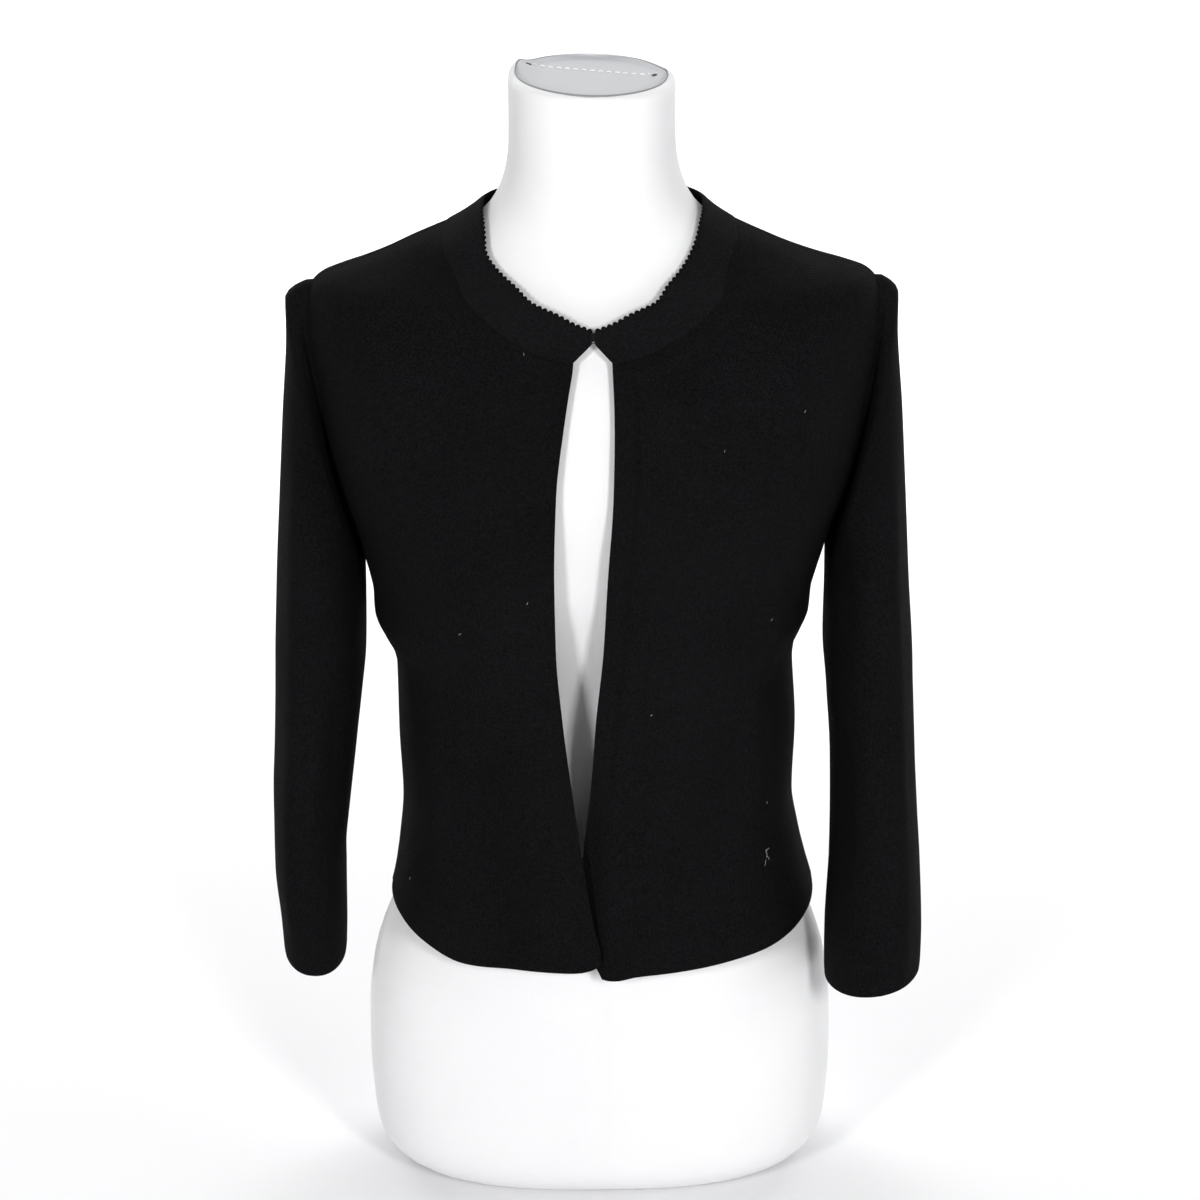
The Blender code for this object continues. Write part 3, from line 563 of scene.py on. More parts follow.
def outward(surface, turn, height):
    """Unit normals of a surface given by turn and height."""
    step = 0.4
    along = surface(turn + step, height) - surface(turn - step, height)
    upward = surface(turn, height + step) - surface(turn, height - step)
    return unit(np.cross(along, upward))


def turn_from_share(share, squareness):
    """Turn from a ring's middle line at which it lies this share of its half size away."""
    power = np.clip(share, 0, 1 - 1e-9) ** squareness
    return np.degrees(np.arctan((power / (1 - power)) ** (1 / squareness)))


def turn_at_side(height, x):
    """Turn on the front of the cloth that lies x to the side of the middle."""
    half_width, _, _, squareness = ring_columns(CLOTH_RINGS, height)
    x = x - smooth_column(CLOTH_LEAN, 1, height)
    return turn_from_share(np.abs(x) / half_width, squareness) * np.sign(x)


def turn_at_depth(height, y):
    """Turn on the wearer's left side of the cloth that lies y behind the side seam."""
    _, front, back, squareness = ring_columns(CLOTH_RINGS, height)
    share = np.abs(y) / np.where(y < 0, front, back)
    return 90 + turn_from_share(share, squareness) * np.sign(y)


def hem_height(turn):
    """Height of the body's hem, lowest at the front, with slight waves."""
    return smooth_column(HEM, 1, np.asarray(turn, float) % 360)


def armhole(angle):
    """Turn and height on the left armhole: 0 at the shoulder, 90 in front, 180 underarm."""
    sine, cosine = sine_cosine(angle)
    height = (ARMHOLE_TOP + ARMHOLE_FOOT) / 2 + (ARMHOLE_TOP - ARMHOLE_FOOT) / 2 * cosine
    return turn_at_depth(height, -ARMHOLE_REACH * sine), height


def side_edge(is_front):
    """Side seam and then armhole of a left panel edge, from the hem to the shoulder."""
    nudge = -SEAM_GAP / 2 if is_front else SEAM_GAP / 2
    seam = np.linspace(hem_height(90), ARMHOLE_FOOT, SIDE_STEPS + 1)
    turns = turn_at_depth(seam, np.full_like(seam, nudge))
    steps = np.arange(ARMHOLE_SIDE_STEPS - 1, 0, -1) / ARMHOLE_SIDE_STEPS * 180
    hole_turns, hole_heights = armhole(steps if is_front else 360 - steps)
    tip_turn = turn_at_depth(np.array([ARMHOLE_TOP]), np.array([nudge]))
    turns = np.concatenate([turns, hole_turns, tip_turn])
    heights = np.concatenate([seam, hole_heights, [ARMHOLE_TOP]])
    return np.stack([turns, heights], axis=-1)


def neck_station(station, is_edge):
    """Turn and height of the neckline at a station; 28 is the centre front again."""
    station = np.asarray(station, float)
    place = NAPE_STATION - np.abs(station - NAPE_STATION)
    first = 3 if is_edge else 1
    turn = smooth_column(NECKLINE, first, place)
    height = smooth_column(NECKLINE, first + 1, place)
    return np.stack([np.where(station > NAPE_STATION, 360 - turn, turn), height], axis=-1)


def shoulder_edge(is_front, steps):
    """Left shoulder seam from the neckline out to the armhole."""
    nudge = -SEAM_GAP / 2 if is_front else SEAM_GAP / 2
    neck = neck_station(SHOULDER_STATION, False)[1]
    heights = np.linspace(neck, ARMHOLE_TOP, steps + 1)
    return np.stack([turn_at_depth(heights, np.full_like(heights, nudge)), heights], axis=-1)


def neck_stations(column, side, is_edge):
    """Stations of one side's neckline, from its front end to the shoulder."""
    height = neck_station(0, is_edge)[1]
    x = side * BAND_END_GAP / 2
    if not is_edge:
        x = float(smooth_column(FRONT_EDGES, column, height))
    turn = float(turn_at_side(height, x)) * side
    tried = np.linspace(0, 3, 301)
    start = np.interp(turn, neck_station(tried, is_edge)[:, 0], tried)
    return np.linspace(start, SHOULDER_STATION, NECK_STEPS + 1)


def filled(bottom, top, left, right, top_shares):
    """Rows and columns of turn and height that fill the four edges of a panel."""
    v = np.linspace(0, 1, len(left))[:, None, None]
    low_shares = np.linspace(0, 1, len(bottom))
    u = (1 - v) * low_shares[None, :, None] + v * top_shares[None, :, None]
    shape = v ** TOP_SHAPE_POWER
    along = (1 - shape) * bottom[None] + shape * top[None]
    across = (1 - u) * left[:, None] + u * right[:, None]
    low_corners = (1 - shape) * ((1 - u) * bottom[0] + u * bottom[-1])
    high_corners = shape * ((1 - u) * top[0] + u * top[-1])
    return along + across - low_corners - high_corners


def front_grid(column, side):
    """Turns and heights of one front, as on the left side: side is -1 for the right front."""
    armhole_side = side_edge(True)
    neck = neck_station(neck_stations(column, side, False), False)
    hem_middle = float(hem_height(0 if side > 0 else 359.99))
    low = np.linspace(hem_middle, ARMHOLE_FOOT, SIDE_STEPS + 1)
    high = np.linspace(ARMHOLE_FOOT, neck[0, 1], ARMHOLE_SIDE_STEPS - NECK_STEPS + 1)
    heights = np.concatenate([low, high[1:]])
    edge = smooth_column(FRONT_EDGES, column, heights)
    edge_turns = turn_at_side(heights, edge) * side
    left = np.concatenate([np.stack([edge_turns, heights], axis=-1)[:-1], neck])
    top = shoulder_edge(True, FRONT_COLUMNS)
    left[-1] = top[0]
    top[-1] = armhole_side[-1]
    turns = np.linspace(left[0, 0], armhole_side[0, 0], FRONT_COLUMNS + 1)
    bottom = np.stack([turns, hem_height(turns * side)], axis=-1)
    away = (turns - turns[0]) / (turns[2 * REFINE] - turns[0])
    if side < 0:
        bottom[:, 1] += CORNER_RISE * np.clip(1 - away, 0, 1) ** CORNER_SHARPNESS
    left[0] = bottom[0]
    bottom[-1] = armhole_side[0]
    return filled(bottom, top, left, armhole_side, np.linspace(0, 1, FRONT_COLUMNS + 1))


def mirrored(grid):
    """Turns and heights of the same places on the wearer's other side."""
    return grid * (-1, 1) + (360, 0)


def back_stations():
    """Stations of the neckline from the left shoulder round the nape to the right shoulder."""
    return np.linspace(SHOULDER_STATION, 2 * NAPE_STATION - SHOULDER_STATION, BACK_NECK_STEPS + 1)


def back_grid():
    """Turns and heights of the back, from the left side round to the right side."""
    left = side_edge(False)
    right = mirrored(left)
    left[0, 1] = hem_height(90)
    right[0, 1] = hem_height(270)
    neck = neck_station(back_stations(), False)
    shoulder = shoulder_edge(False, BACK_SHOULDER_STEPS)[::-1]
    top = np.concatenate([shoulder, neck[1:-1], mirrored(shoulder)[::-1]])
    turns = np.linspace(left[0, 0], right[0, 0], len(top))
    bottom = np.stack([turns, hem_height(turns)], axis=-1)
    bottom[0] = left[0]
    bottom[-1] = right[0]
    top_shares = (top[:, 0] - top[0, 0]) / (top[-1, 0] - top[0, 0])
    return filled(bottom, top, left, right, top_shares)


def tube_point(table, angle, height):
    """A point on the inside of a hanging sleeve: angle 0 is its outer edge, 90 its front."""
    outer = smooth_column(table, 1, height) - CLOTH
    inner = smooth_column(table, 2, height) + CLOTH
    middle_depth = smooth_column(table, 3, height)
    half_depth = smooth_column(table, 4, height) - CLOTH
    sine, cosine = sine_cosine(angle)
    x = np.sign(cosine) * np.abs(cosine) ** (2 / SLEEVE_SQUARENESS)
    y = np.sign(sine) * np.abs(sine) ** (2 / SLEEVE_SQUARENESS)
    x = (outer + inner) / 2 + (outer - inner) / 2 * x
    y = middle_depth - half_depth * y
    return np.stack(np.broadcast_arrays(x, y, height), axis=-1)


def sleeve_fold(folds, angle, height):
    """Height of all soft folds of a sleeve at a place on it."""
    total = np.zeros(np.broadcast(angle, height).shape)
    for centre, top, low, spread, rise in folds:
        away = (angle - centre + 180) % 360 - 180
        total = total + rise * fold_fade(top, low, height) * bell(away, spread)
    return total


def across_point(turn, height):
    """The wearer's right side of the cloth, mirrored onto the left side."""
    return cloth_point(360 - turn, height) * (-1, 1, 1)


def sleeve_walls(surface, table, folds, hem_rise):
    """Inner and outer points of a left-hand sleeve, from its armhole down to its hem."""
    angles = np.arange(2 * ARMHOLE_SIDE_STEPS) / ARMHOLE_SIDE_STEPS * 180
    turns, heights = armhole(angles)
    seam = surface(turns, heights)
    normal = outward(surface, turns, heights)
    tangent = np.roll(seam, -1, axis=0) - np.roll(seam, 1, axis=0)
    away = unit(np.cross(normal, tangent))
    underarm = (1 - sine_cosine(angles)[1][:, None]) / 2
    fold_in = SLEEVE_HEAD_TURN * (1 - underarm) + SLEEVE_UNDERARM_TURN * underarm
    gap = SEAM_GAP * (1 + UNDERARM_EASE * underarm)
    sine, cosine = sine_cosine(fold_in)
    start = seam + away * (gap + CLOTH * sine)
    outer_start = seam + away * gap + normal * CLOTH * cosine
    lead = start + (away * cosine + normal * sine) * SLEEVE_LEAD
    offset = lead - tube_point(table, angles, lead[:, 2])
    rows = [start, lead]
    hem = table[0][0]
    outside = 1 - underarm[:, 0]
    cap_steps = (np.arange(1, CAP_ROWS + 1) / CAP_ROWS) ** 1.5
    levels = [lead[:, 2] + (CAP_FOOT - lead[:, 2]) * step for step in cap_steps]
    for row in range(1, SLEEVE_ROWS_BELOW + 1):
        share = row / SLEEVE_ROWS_BELOW
        rise = hem_rise * outside**2 * share**4
        levels.append(CAP_FOOT + (hem - CAP_FOOT) * share + rise)
    for level in levels:
        left_over = np.clip(1 - (lead[:, 2] - level) / CAP_BLEND, 0, 1) ** 2
        rows.append(tube_point(table, angles, level) + offset * left_over[:, None])
    inner = np.array(rows)
    round_way = np.roll(inner, -1, axis=1) - np.roll(inner, 1, axis=1)
    down_way = np.gradient(inner, axis=0)
    facing = unit(np.cross(round_way, down_way))
    rise = sleeve_fold(folds, angles, inner[..., 2])
    fine = crease_rise(SLEEVE_CREASES, angles, inner[..., 2], SLEEVE_MM_A_DEGREE)
    fine = fine + WAVE_RISE * soft_waves(angles * SLEEVE_MM_A_DEGREE, inner[..., 2])
    rise = rise + fine * smooth_step((lead[:, 2] - inner[..., 2]) / SLEEVE_FADE)
    inner = inner + facing * rise[..., None]
    outer = inner + facing * CLOTH
    inner[0] = start
    outer[0] = outer_start
    return inner, outer


def band_grid():
    """Turns and heights of the neck band: rows from its seam up to its free edge."""
    back = back_stations()
    lines = []
    for is_edge in (False, True):
        left = neck_stations(2, 1, is_edge)
        right = 2 * NAPE_STATION - neck_stations(1, -1, is_edge)[::-1]
        lines.append(neck_station(np.concatenate([left, back[1:-1], right]), is_edge))
    seam, edge = lines
    rows = []
    for up in np.linspace(0, 1, BAND_STEPS + 1):
        share = np.array([min(1.0, up / BAND_END_SPLAY), up])
        rows.append(seam + (edge - seam) * share)
    return np.array(rows)


def up_the_cloth(line, normal):
    """Unit directions in the cloth and square to a line that goes round it, upwards."""
    return unit(np.cross(normal, np.gradient(line, axis=0)))


def band_walls():
    """Inner points, outer points and normals of the neck band."""
    grid = band_grid()
    turns = grid[..., 0]
    heights = grid[..., 1]
    inner = cloth_point(turns, heights)
    normal = outward(cloth_point, turns, heights)
    inner[0] += up_the_cloth(inner[0], normal[0]) * SEAM_GAP
    return inner, inner + normal * BAND_CLOTH, normal


def along_line(line, count):
    """Points and the shares of their two neighbours at even distances along a line."""
    lengths = np.linalg.norm(np.diff(line, axis=0), axis=-1)
    run = np.concatenate([[0], np.cumsum(lengths)])
    places = np.linspace(0, run[-1], count)
    i = np.clip(np.searchsorted(run, places, side="right") - 1, 0, len(lengths) - 1)
    return i, ((places - run[i]) / lengths[i])[:, None]


def crease_rise(creases, across, height, wide):
    """Height of short straight creases at a place; wide turns the first coordinate to mm."""
    total = np.zeros(np.broadcast(across, height).shape)
    for start_x, start_z, end_x, end_z, spread, rise in creases:
        run_x = (end_x - start_x) * wide
        run_z = end_z - start_z
        length = math.hypot(run_x, run_z)
        dx = (across - start_x) * wide
        dz = height - start_z
        along = (dx * run_x + dz * run_z) / length
        off = (dz * run_x - dx * run_z) / length
        fade = smooth_step(along / length * 3.0) * smooth_step((length - along) / length * 3.0)
        total = total + rise * fade * bell(off, spread)
    return total


def soft_waves(a, b):
    """Slow uneven waves of worn cloth, about one high, from two coordinates in mm."""
    waves = np.sin(a / 17.0 + 1.3 * np.sin(b / 41.0)) * np.sin(b / 53.0 + a / 97.0)
    return 0.6 * waves + 0.4 * np.sin(a / 9.5 + b / 71.0 + 2.0 * np.sin(b / 29.0))


def run_lengths(points, axis):
    """Distance run along one axis of a grid of points, from its first row or column."""
    steps = np.linalg.norm(np.diff(points, axis=axis), axis=-1)
    start = np.zeros_like(np.take(steps, [0], axis=axis))
    return np.concatenate([start, np.cumsum(steps, axis=axis)], axis=axis)


def knit_map(points, start_column):
    """Places in the knit: wales run up, courses run across from one column."""
    across = run_lengths(points, 1)
    across = across - across[:, [start_column]]
    up = run_lengths(points, 0)
    return np.stack([across, up], axis=-1) * MM


def linked(name, data):
    """A new object of this data in the scene."""
    item = bpy.data.objects.new(name, data)
    bpy.context.scene.collection.objects.link(item)
    return item


def add_piece(name, points, faces, *materials, crease=60):
    """An object from points in mm and faces, smooth but for edges sharper than the crease."""
    mesh = bpy.data.meshes.new(name)
    mesh.from_pydata(points * MM, [], faces)
    mesh.shade_smooth()
    mesh.set_sharp_from_angle(angle=math.radians(crease))
    for material in materials:
        mesh.materials.append(material)
    return linked(name, mesh)


def wall_quads(grid, lift, is_tube):
    """Quads of a wall's two faces and its open edges; lift leads to the outer face's numbers."""
    low, high = grid[:-1], grid[1:]
    quads = [(high[:, :-1], high[:, 1:], low[:, 1:], low[:, :-1])]
    quads.append(tuple(corner + lift for corner in reversed(quads[0])))
    edges = [grid[0], grid[-1][::-1]]
    if not is_tube:
        edges += [grid[::-1, 0], grid[:, -1]]
    for edge in edges:
        start, stop = edge[:-1], edge[1:]
        quads.append((start, stop, stop + lift, start + lift))
    return np.concatenate([np.stack(quad, axis=-1).reshape(-1, 4) for quad in quads])


def add_wall(name, inner, outer, knit, material, is_tube=False):
    """A closed wall from two grids of points in mm, with its knit places as a UV map."""
    rows, columns = inner.shape[:2]
    count = rows * columns
    grid = np.arange(count).reshape(rows, columns)
    if is_tube:
        grid = np.concatenate([grid, grid[:, :1]], axis=1)
    faces = wall_quads(grid, count, is_tube)
    maps = wall_quads(np.arange(grid.size).reshape(grid.shape), 0, is_tube)
    points = np.concatenate([inner.reshape(-1, 3), outer.reshape(-1, 3)])
    a, b, c, d = (points[faces[:, k]] for k in range(4))
    if (np.cross(b, c) * a).sum() + (np.cross(c, d) * a).sum() < 0:
        faces = faces[:, ::-1]
        maps = maps[:, ::-1]
    piece = add_piece(name, points, faces.tolist(), material)
    layer = piece.data.uv_layers.new(name="knit")
    layer.data.foreach_set("uv", knit.reshape(-1, 2)[maps.ravel()].ravel())
    return piece


def add_panel(name, surface, grid, start_column, creases, material):
    """A panel of the body: the solid's form with small creases, a bead at its hem."""
    turns = grid[..., 0]
    heights = grid[..., 1]
    inner = surface(turns, heights)
    normal = outward(surface, turns, heights)
    from_left = run_lengths(inner, 1)
    from_right = from_left[:, -1:] - from_left
    up = run_lengths(inner, 0)
    from_top = up[-1:] - up
    inside = np.minimum(np.minimum(from_left, from_right), from_top)
    rise = crease_rise(creases, inner[..., 0], heights, 1.0)
    rise = rise + WAVE_RISE * soft_waves(turns * BODY_MM_A_DEGREE, heights)
    inner = inner + normal * (rise * smooth_step(inside / PANEL_FADE))[..., None]
    thick = CLOTH + HEM_BEAD * bell(up, HEM_BEAD_REACH)
    outer = inner + normal * thick[..., None]
    taper = EDGE_TAPER * normal
    taper[1:-1, 1:-1] = 0
    return add_wall(name, inner + taper, outer - taper, knit_map(inner, start_column), material)


def add_sleeve(name, surface, table, folds, hem_rise, side, material):
    """A sleeve in rows from its hem up, its seam under the arm; side is -1 for the right one."""
    inner, outer = sleeve_walls(surface, table, folds, hem_rise)
    half = inner.shape[1] // 2
    inner = np.roll(inner[::-1], half, axis=1) * (side, 1, 1)
    outer = np.roll(outer[::-1], half, axis=1) * (side, 1, 1)
    taper = (outer[0] - inner[0]) / CLOTH * EDGE_TAPER
    inner[0] += taper
    outer[0] -= taper
    closed = np.concatenate([inner, inner[:, :1]], axis=1)
    return add_wall(name, inner, outer, knit_map(closed, half), material, is_tube=True)


def add_band(material):
    """The folded neck band: rounded long edges, and a lip that laps over the panels' seam."""
    inner, outer, normal = band_walls()
    share = np.linspace(0, 1, len(inner))[:, None, None]
    full = np.sin(np.pi * share) ** 0.5
    outer = outer + normal * (full - 1) * BAND_EDGE_TAPER
    outer[:, [0, -1]] -= normal[:, [0, -1]] * EDGE_TAPER
    up = up_the_cloth(inner[0], normal[0])
    lip_inner = [inner[0] + normal[0] * (CLOTH + LIP_CLEAR) - up * reach for reach in LIP_ROWS]
    lips = zip(LIP_ROWS, LIP_SINKS)
    lip_outer = [outer[0] - normal[0] * sink - up * reach for reach, sink in lips]
    inner = np.concatenate([lip_inner, inner])
    outer = np.concatenate([lip_outer, outer])
    return add_wall("neck_band_knit", inner, outer, knit_map(inner, len(inner[0]) // 2), material)


def add_picot(material):
    """Round scallops along the band's free edge, thinner towards their tips."""
    inner, outer, normal = band_walls()
    line = (inner[-1] + outer[-1]) / 2
    upward = up_the_cloth(line, normal[-1])
    length = np.linalg.norm(np.diff(line, axis=0), axis=-1).sum()
    bumps = round(length / PICOT_PITCH)
    i, share = along_line(line, PICOT_STEPS * bumps + 1)
    base = line[i] * (1 - share) + line[i + 1] * share
    up = upward[i] * (1 - share) + upward[i + 1] * share
    facing = normal[-1][i] * (1 - share) + normal[-1][i + 1] * share
    bump = np.abs(np.sin(np.pi * np.arange(len(i)) / PICOT_STEPS)) ** 0.8
    reach = (PICOT_VALLEY + (PICOT_PEAK - PICOT_VALLEY) * bump)[:, None]
    low = base + up * (SEAM_GAP - PICOT_ROOT)
    part, half = np.array(PICOT_SECTION).T[..., None, None]
    middle = low + up * (reach + PICOT_ROOT) * part
    inside = middle - facing * half
    outside = middle + facing * half
    return add_wall("picot_knit", inside, outside, knit_map(inside, 0), material)


def cover_ring(turns, level):
    """One level ring of the cover, rounded in at the base and sunk along its seams."""
    ring = ring_point(FORM_RINGS, turns, np.full(len(turns), level))
    reach = np.linalg.norm(ring[:, :2], axis=-1, keepdims=True)
    below = max(BASE_ROUNDING - level, 0.0)
    inset = BASE_ROUNDING - math.sqrt(BASE_ROUNDING**2 - below**2)
    groove = np.zeros(len(turns))
    for turn, low, high in COVER_SEAMS:
        away = np.radians((turns - turn + 180) % 360 - 180) * reach[:, 0]
        fade = smooth_step((level - low) / SEAM_FADE) * smooth_step((high - level) / SEAM_FADE)
        groove += SEAM_DEPTH * fade * bell(away, SEAM_SPREAD)
    ring[:, :2] *= 1 - (inset + groove[:, None]) / reach
    return ring


def rim_height(x, y):
    """Height of the neck's top edge, tilted a little, with a small rise at each end."""
    height = CAP_HEIGHT + CAP_TILT_BACK * y + CAP_TILT_SIDE * x
    for middle_x, middle_y, wide, deep, rise in HORNS:
        height = height + rise * bell(x - middle_x, wide) * bell(y - middle_y, deep)
    return height


def lens_edge(degrees):
    """Points on the edge of the sunk lens, by direction from its front."""
    sine, cosine = sine_cosine(degrees)
    x = LENS_LONG * sine
    y = LENS_MIDDLE - LENS_DEEP * np.sign(cosine) * np.abs(cosine) ** (2 * LENS_POINT)
    return np.stack([x, y, rim_height(x, y)], axis=-1)


def lens_room(x, y):
    """How far a place on the top lies inside the edge of the sunk lens, along y."""
    share = np.clip(1 - (x / LENS_LONG) ** 2, 0, 1)
    return LENS_DEEP * share**LENS_POINT - np.abs(y - LENS_MIDDLE)


def lens_height(x, y):
    return rim_height(x, y) - LENS_SUNK * smooth_step(lens_room(x, y) / LENS_EDGE)


def round_quads(grid):
    """Quads between the closed rings of a grid of point numbers."""
    after = np.roll(grid, -1, axis=1)
    return np.stack([grid[:-1], after[:-1], after[1:], grid[1:]], axis=-1).reshape(-1, 4)


def add_form(*materials):
    """The jersey-covered form: rounded base, torso, neck, rolled rim and sunk top panel, with painted
    shade along the panel's rim.
    """
    turns = np.arange(COVER_COLUMNS) / COVER_COLUMNS * 360
    low = BASE_ROUNDING * (1 - np.cos(np.linspace(0, np.pi / 2, BASE_STEPS + 1)))
    levels = np.concatenate([low[:-1], np.arange(BASE_ROUNDING, COVER_TOP + 1, COVER_STEP)])
    rings = [cover_ring(turns, level) for level in levels]
    top = cover_ring(turns, CAP_HEIGHT)
    reach = np.linalg.norm(top[:, :2], axis=-1)
    edge = rim_height(top[:, 0], top[:, 1])
    for step in range(LIP_STEPS + 1):
        sine, cosine = sine_cosine(90 * step / LIP_STEPS)
        ring = top.copy()
        ring[:, :2] *= (1 - LIP_RADIUS * (1 - cosine) / reach)[:, None]
        ring[:, 2] = edge - LIP_RADIUS * (1 - sine)
        rings.append(ring)
    lens = lens_edge(turns)
    outer_ring = rings[-1]
    for share in LIP_TO_LENS:
        ring = outer_ring * (1 - share) + lens * share
        ring[:, 2] = rim_height(ring[:, 0], ring[:, 1])
        rings.append(ring)
    panel_start = len(rings) - 1
    for share in LENS_SHARES:
        ring = (0, LENS_MIDDLE, 0) + (lens - (0, LENS_MIDDLE, 0)) * share
        ring[:, 2] = lens_height(ring[:, 0], ring[:, 1])
        rings.append(ring)
    count = COVER_COLUMNS * len(rings)
    grid = np.arange(count).reshape(-1, COVER_COLUMNS)
    points = np.concatenate(rings + [[rings[0].mean(axis=0), rings[-1].mean(axis=0)]])
    faces = round_quads(grid).tolist()
    for centre, ring in ((count, grid[0][::-1]), (count + 1, grid[-1])):
        faces += [(centre, a, b) for a, b in zip(ring.tolist(), np.roll(ring, -1).tolist())]
    # Faces in the panel's first rows, most of them at the front, get the dark grey of painted shade
    # along the rim
    inward = np.arange(len(rings) - 1)[:, None] - panel_start
    shade_rows = np.maximum(BACK_SHADE_ROWS, np.round(FRONT_SHADE_ROWS * sine_cosine(turns)[1]))
    in_panel = inward >= 0
    kinds = (in_panel + (in_panel & (inward < shade_rows)).astype(int)).ravel()
    kinds = np.concatenate([kinds, np.repeat([0, 1], COVER_COLUMNS)])
    piece = add_piece("form_cover", points, faces, *materials)
    piece.data.polygons.foreach_set("material_index", kinds)
    return piece


def tube(name, paths, radius, material, sides=8):
    """Round threads or wires along paths of points in mm, as one mesh with closed ends."""
    points = []
    faces = []
    sine, cosine = sine_cosine(360 * np.arange(sides)[:, None] / sides)
    for path in np.asarray(paths, float):
        way = unit(np.gradient(path, axis=0))
        side = unit(np.cross(way, (0.12, 0.31, 0.94)))
        other = np.cross(way, side)
        wide = np.broadcast_to(radius, len(path))[:, None, None]
        round_way = cosine * side[:, None] + sine * other[:, None]
        grid = len(points) + np.arange(len(path) * sides).reshape(-1, sides)
        points.extend((path[:, None] + wide * round_way).reshape(-1, 3))
        faces += round_quads(grid)[:, ::-1].tolist()
        faces += [grid[0].tolist(), grid[-1][::-1].tolist()]
    return add_piece(name, np.array(points), faces, material, crease=50)


def cap_point(x, y, above):
    return np.array([x, y, float(lens_height(np.array(x), np.array(y))) + above])


def add_cap_stitches(material):
    """One row of white stitches across the top panel, slanting to the front at one end."""
    paths = []
    start = np.array(STITCH_LINE[0])
    run = np.array(STITCH_LINE[1]) - start
    length = float(np.hypot(*run))
    at = 0.0
    while at < length:
        stop = min(at + STITCH_LONG, length)
        path = []
        for step in np.linspace(0, 1, 5):
            x, y = start + run * (at + (stop - at) * step) / length
            arch = STITCH_ARCH * math.sin(math.pi * step)
            path.append(cap_point(x, y, arch + STITCH_LIFT))
        paths.append(path)
        at = stop + STITCH_GAP
    return tube("cap_stitches", paths, STITCH_RADIUS, material, 6)


def add_rim_seam_shade(material):
    """A soft ridge where the panel meets the front of the rim, thinner at its ends, dark as painted
    shade.
    """
    angles = np.linspace(-RIM_SEAM_SHADE_REACH, RIM_SEAM_SHADE_REACH, 85)
    half = RIM_SEAM_SHADE_HALF * (0.35 + 0.65 * sine_cosine(angles)[1])
    return tube("cap_rim_seam_shade", [lens_edge(angles)], half, material)


def add_grommets(material):
    """Two small dark eyelets near the ends of the top panel."""
    sine, cosine = sine_cosine(30 * np.arange(13))
    paths = []
    for x, y in GROMMETS:
        spots = zip(x + GROMMET_RADIUS * cosine, y + GROMMET_RADIUS * sine)
        paths.append([cap_point(*spot, GROMMET_LIFT) for spot in spots])
    return tube("cap_grommets", paths, GROMMET_WIRE, material)


def add_thread_bars(material):
    """Short thread bars that draw the band's two ends together at the hook and eye."""
    height = np.array(HOOK_HEIGHT)
    turn = turn_at_side(height, 0.0)
    out = outward(cloth_point, turn, height)
    across = np.array([1.0, 0.0, 0.0])
    up = np.cross(out, across)
    middle = cloth_point(turn, height)
    paths = []
    for rise in THREAD_BARS:
        path = []
        for step in np.linspace(-1, 1, 7):
            depth = BAR_DEPTH + BAR_BOW * (1 - step**2)
            place = middle + across * BAR_HALF * step + out * depth
            path.append(place + up * (rise + BAR_SLANT * step))
        paths.append(path)
    return tube("thread_bars", paths, BAR_RADIUS, material)


class Surface:
    """A material, with short calls for building its nodes."""

    def __init__(self, name, colour, roughness, metallic=0.0, gloss=0.5):
        self.material = bpy.data.materials.new(name)
        self.material.use_nodes = True
        self.tree = self.material.node_tree
        self.shader = self.tree.nodes["Principled BSDF"].inputs
        self.shader["Base Color"].default_value = (*colour, 1.0)
        self.shader["Roughness"].default_value = roughness
        self.shader["Metallic"].default_value = metallic
        self.shader["Specular IOR Level"].default_value = gloss
        self.place = self.add("ShaderNodeTexCoord").outputs["Object"]

    def add(self, kind, **values):
        node = self.tree.nodes.new(kind)
        for key, value in values.items():
            if key in node.inputs.keys():
                node.inputs[key].default_value = value
            else:
                setattr(node, key, value)
        return node

    def link(self, a, b):
        self.tree.links.new(a, b)

    def math(self, operation, a, b=None):
        node = self.add("ShaderNodeMath", operation=operation)
        for socket, value in zip(node.inputs, (a, b)):
            if isinstance(value, (int, float)):
                socket.default_value = value
            elif value is not None:
                self.link(value, socket)
        return node.outputs[0]

    def noise(self, scale, detail=2.0, roughness=0.5):
        node = self.add("ShaderNodeTexNoise", Scale=scale, Detail=detail, Roughness=roughness)
        self.link(self.place, node.inputs["Vector"])
        return node.outputs["Fac"]

    def mix(self, a, share_a, b, share_b):
        """Two values, each times its share, added up."""
        return self.math("ADD", self.math("MULTIPLY", a, share_a), self.math("MULTIPLY", b, share_b))

    def paint(self, tone, low, high, dark, light):
        ramp = self.add("ShaderNodeValToRGB")
        for element, position, colour in zip(ramp.color_ramp.elements, (low, high), (dark, light)):
            element.position = position
            element.color = (*colour, 1.0)
        self.link(tone, ramp.inputs["Fac"])
        self.link(ramp.outputs["Color"], self.shader["Base Color"])

    def bump(self, height, strength, distance):
        node = self.add("ShaderNodeBump", Strength=strength, Distance=distance)
        self.link(height, node.inputs["Height"])
        self.link(node.outputs["Normal"], self.shader["Normal"])

    def polish(self, tone, share, base):
        rough = self.math("ADD", self.math("MULTIPLY", tone, share), base)
        self.link(rough, self.shader["Roughness"])

    def sheen(self, weight, roughness):
        self.shader["Sheen Weight"].default_value = weight
        self.shader["Sheen Roughness"].default_value = roughness


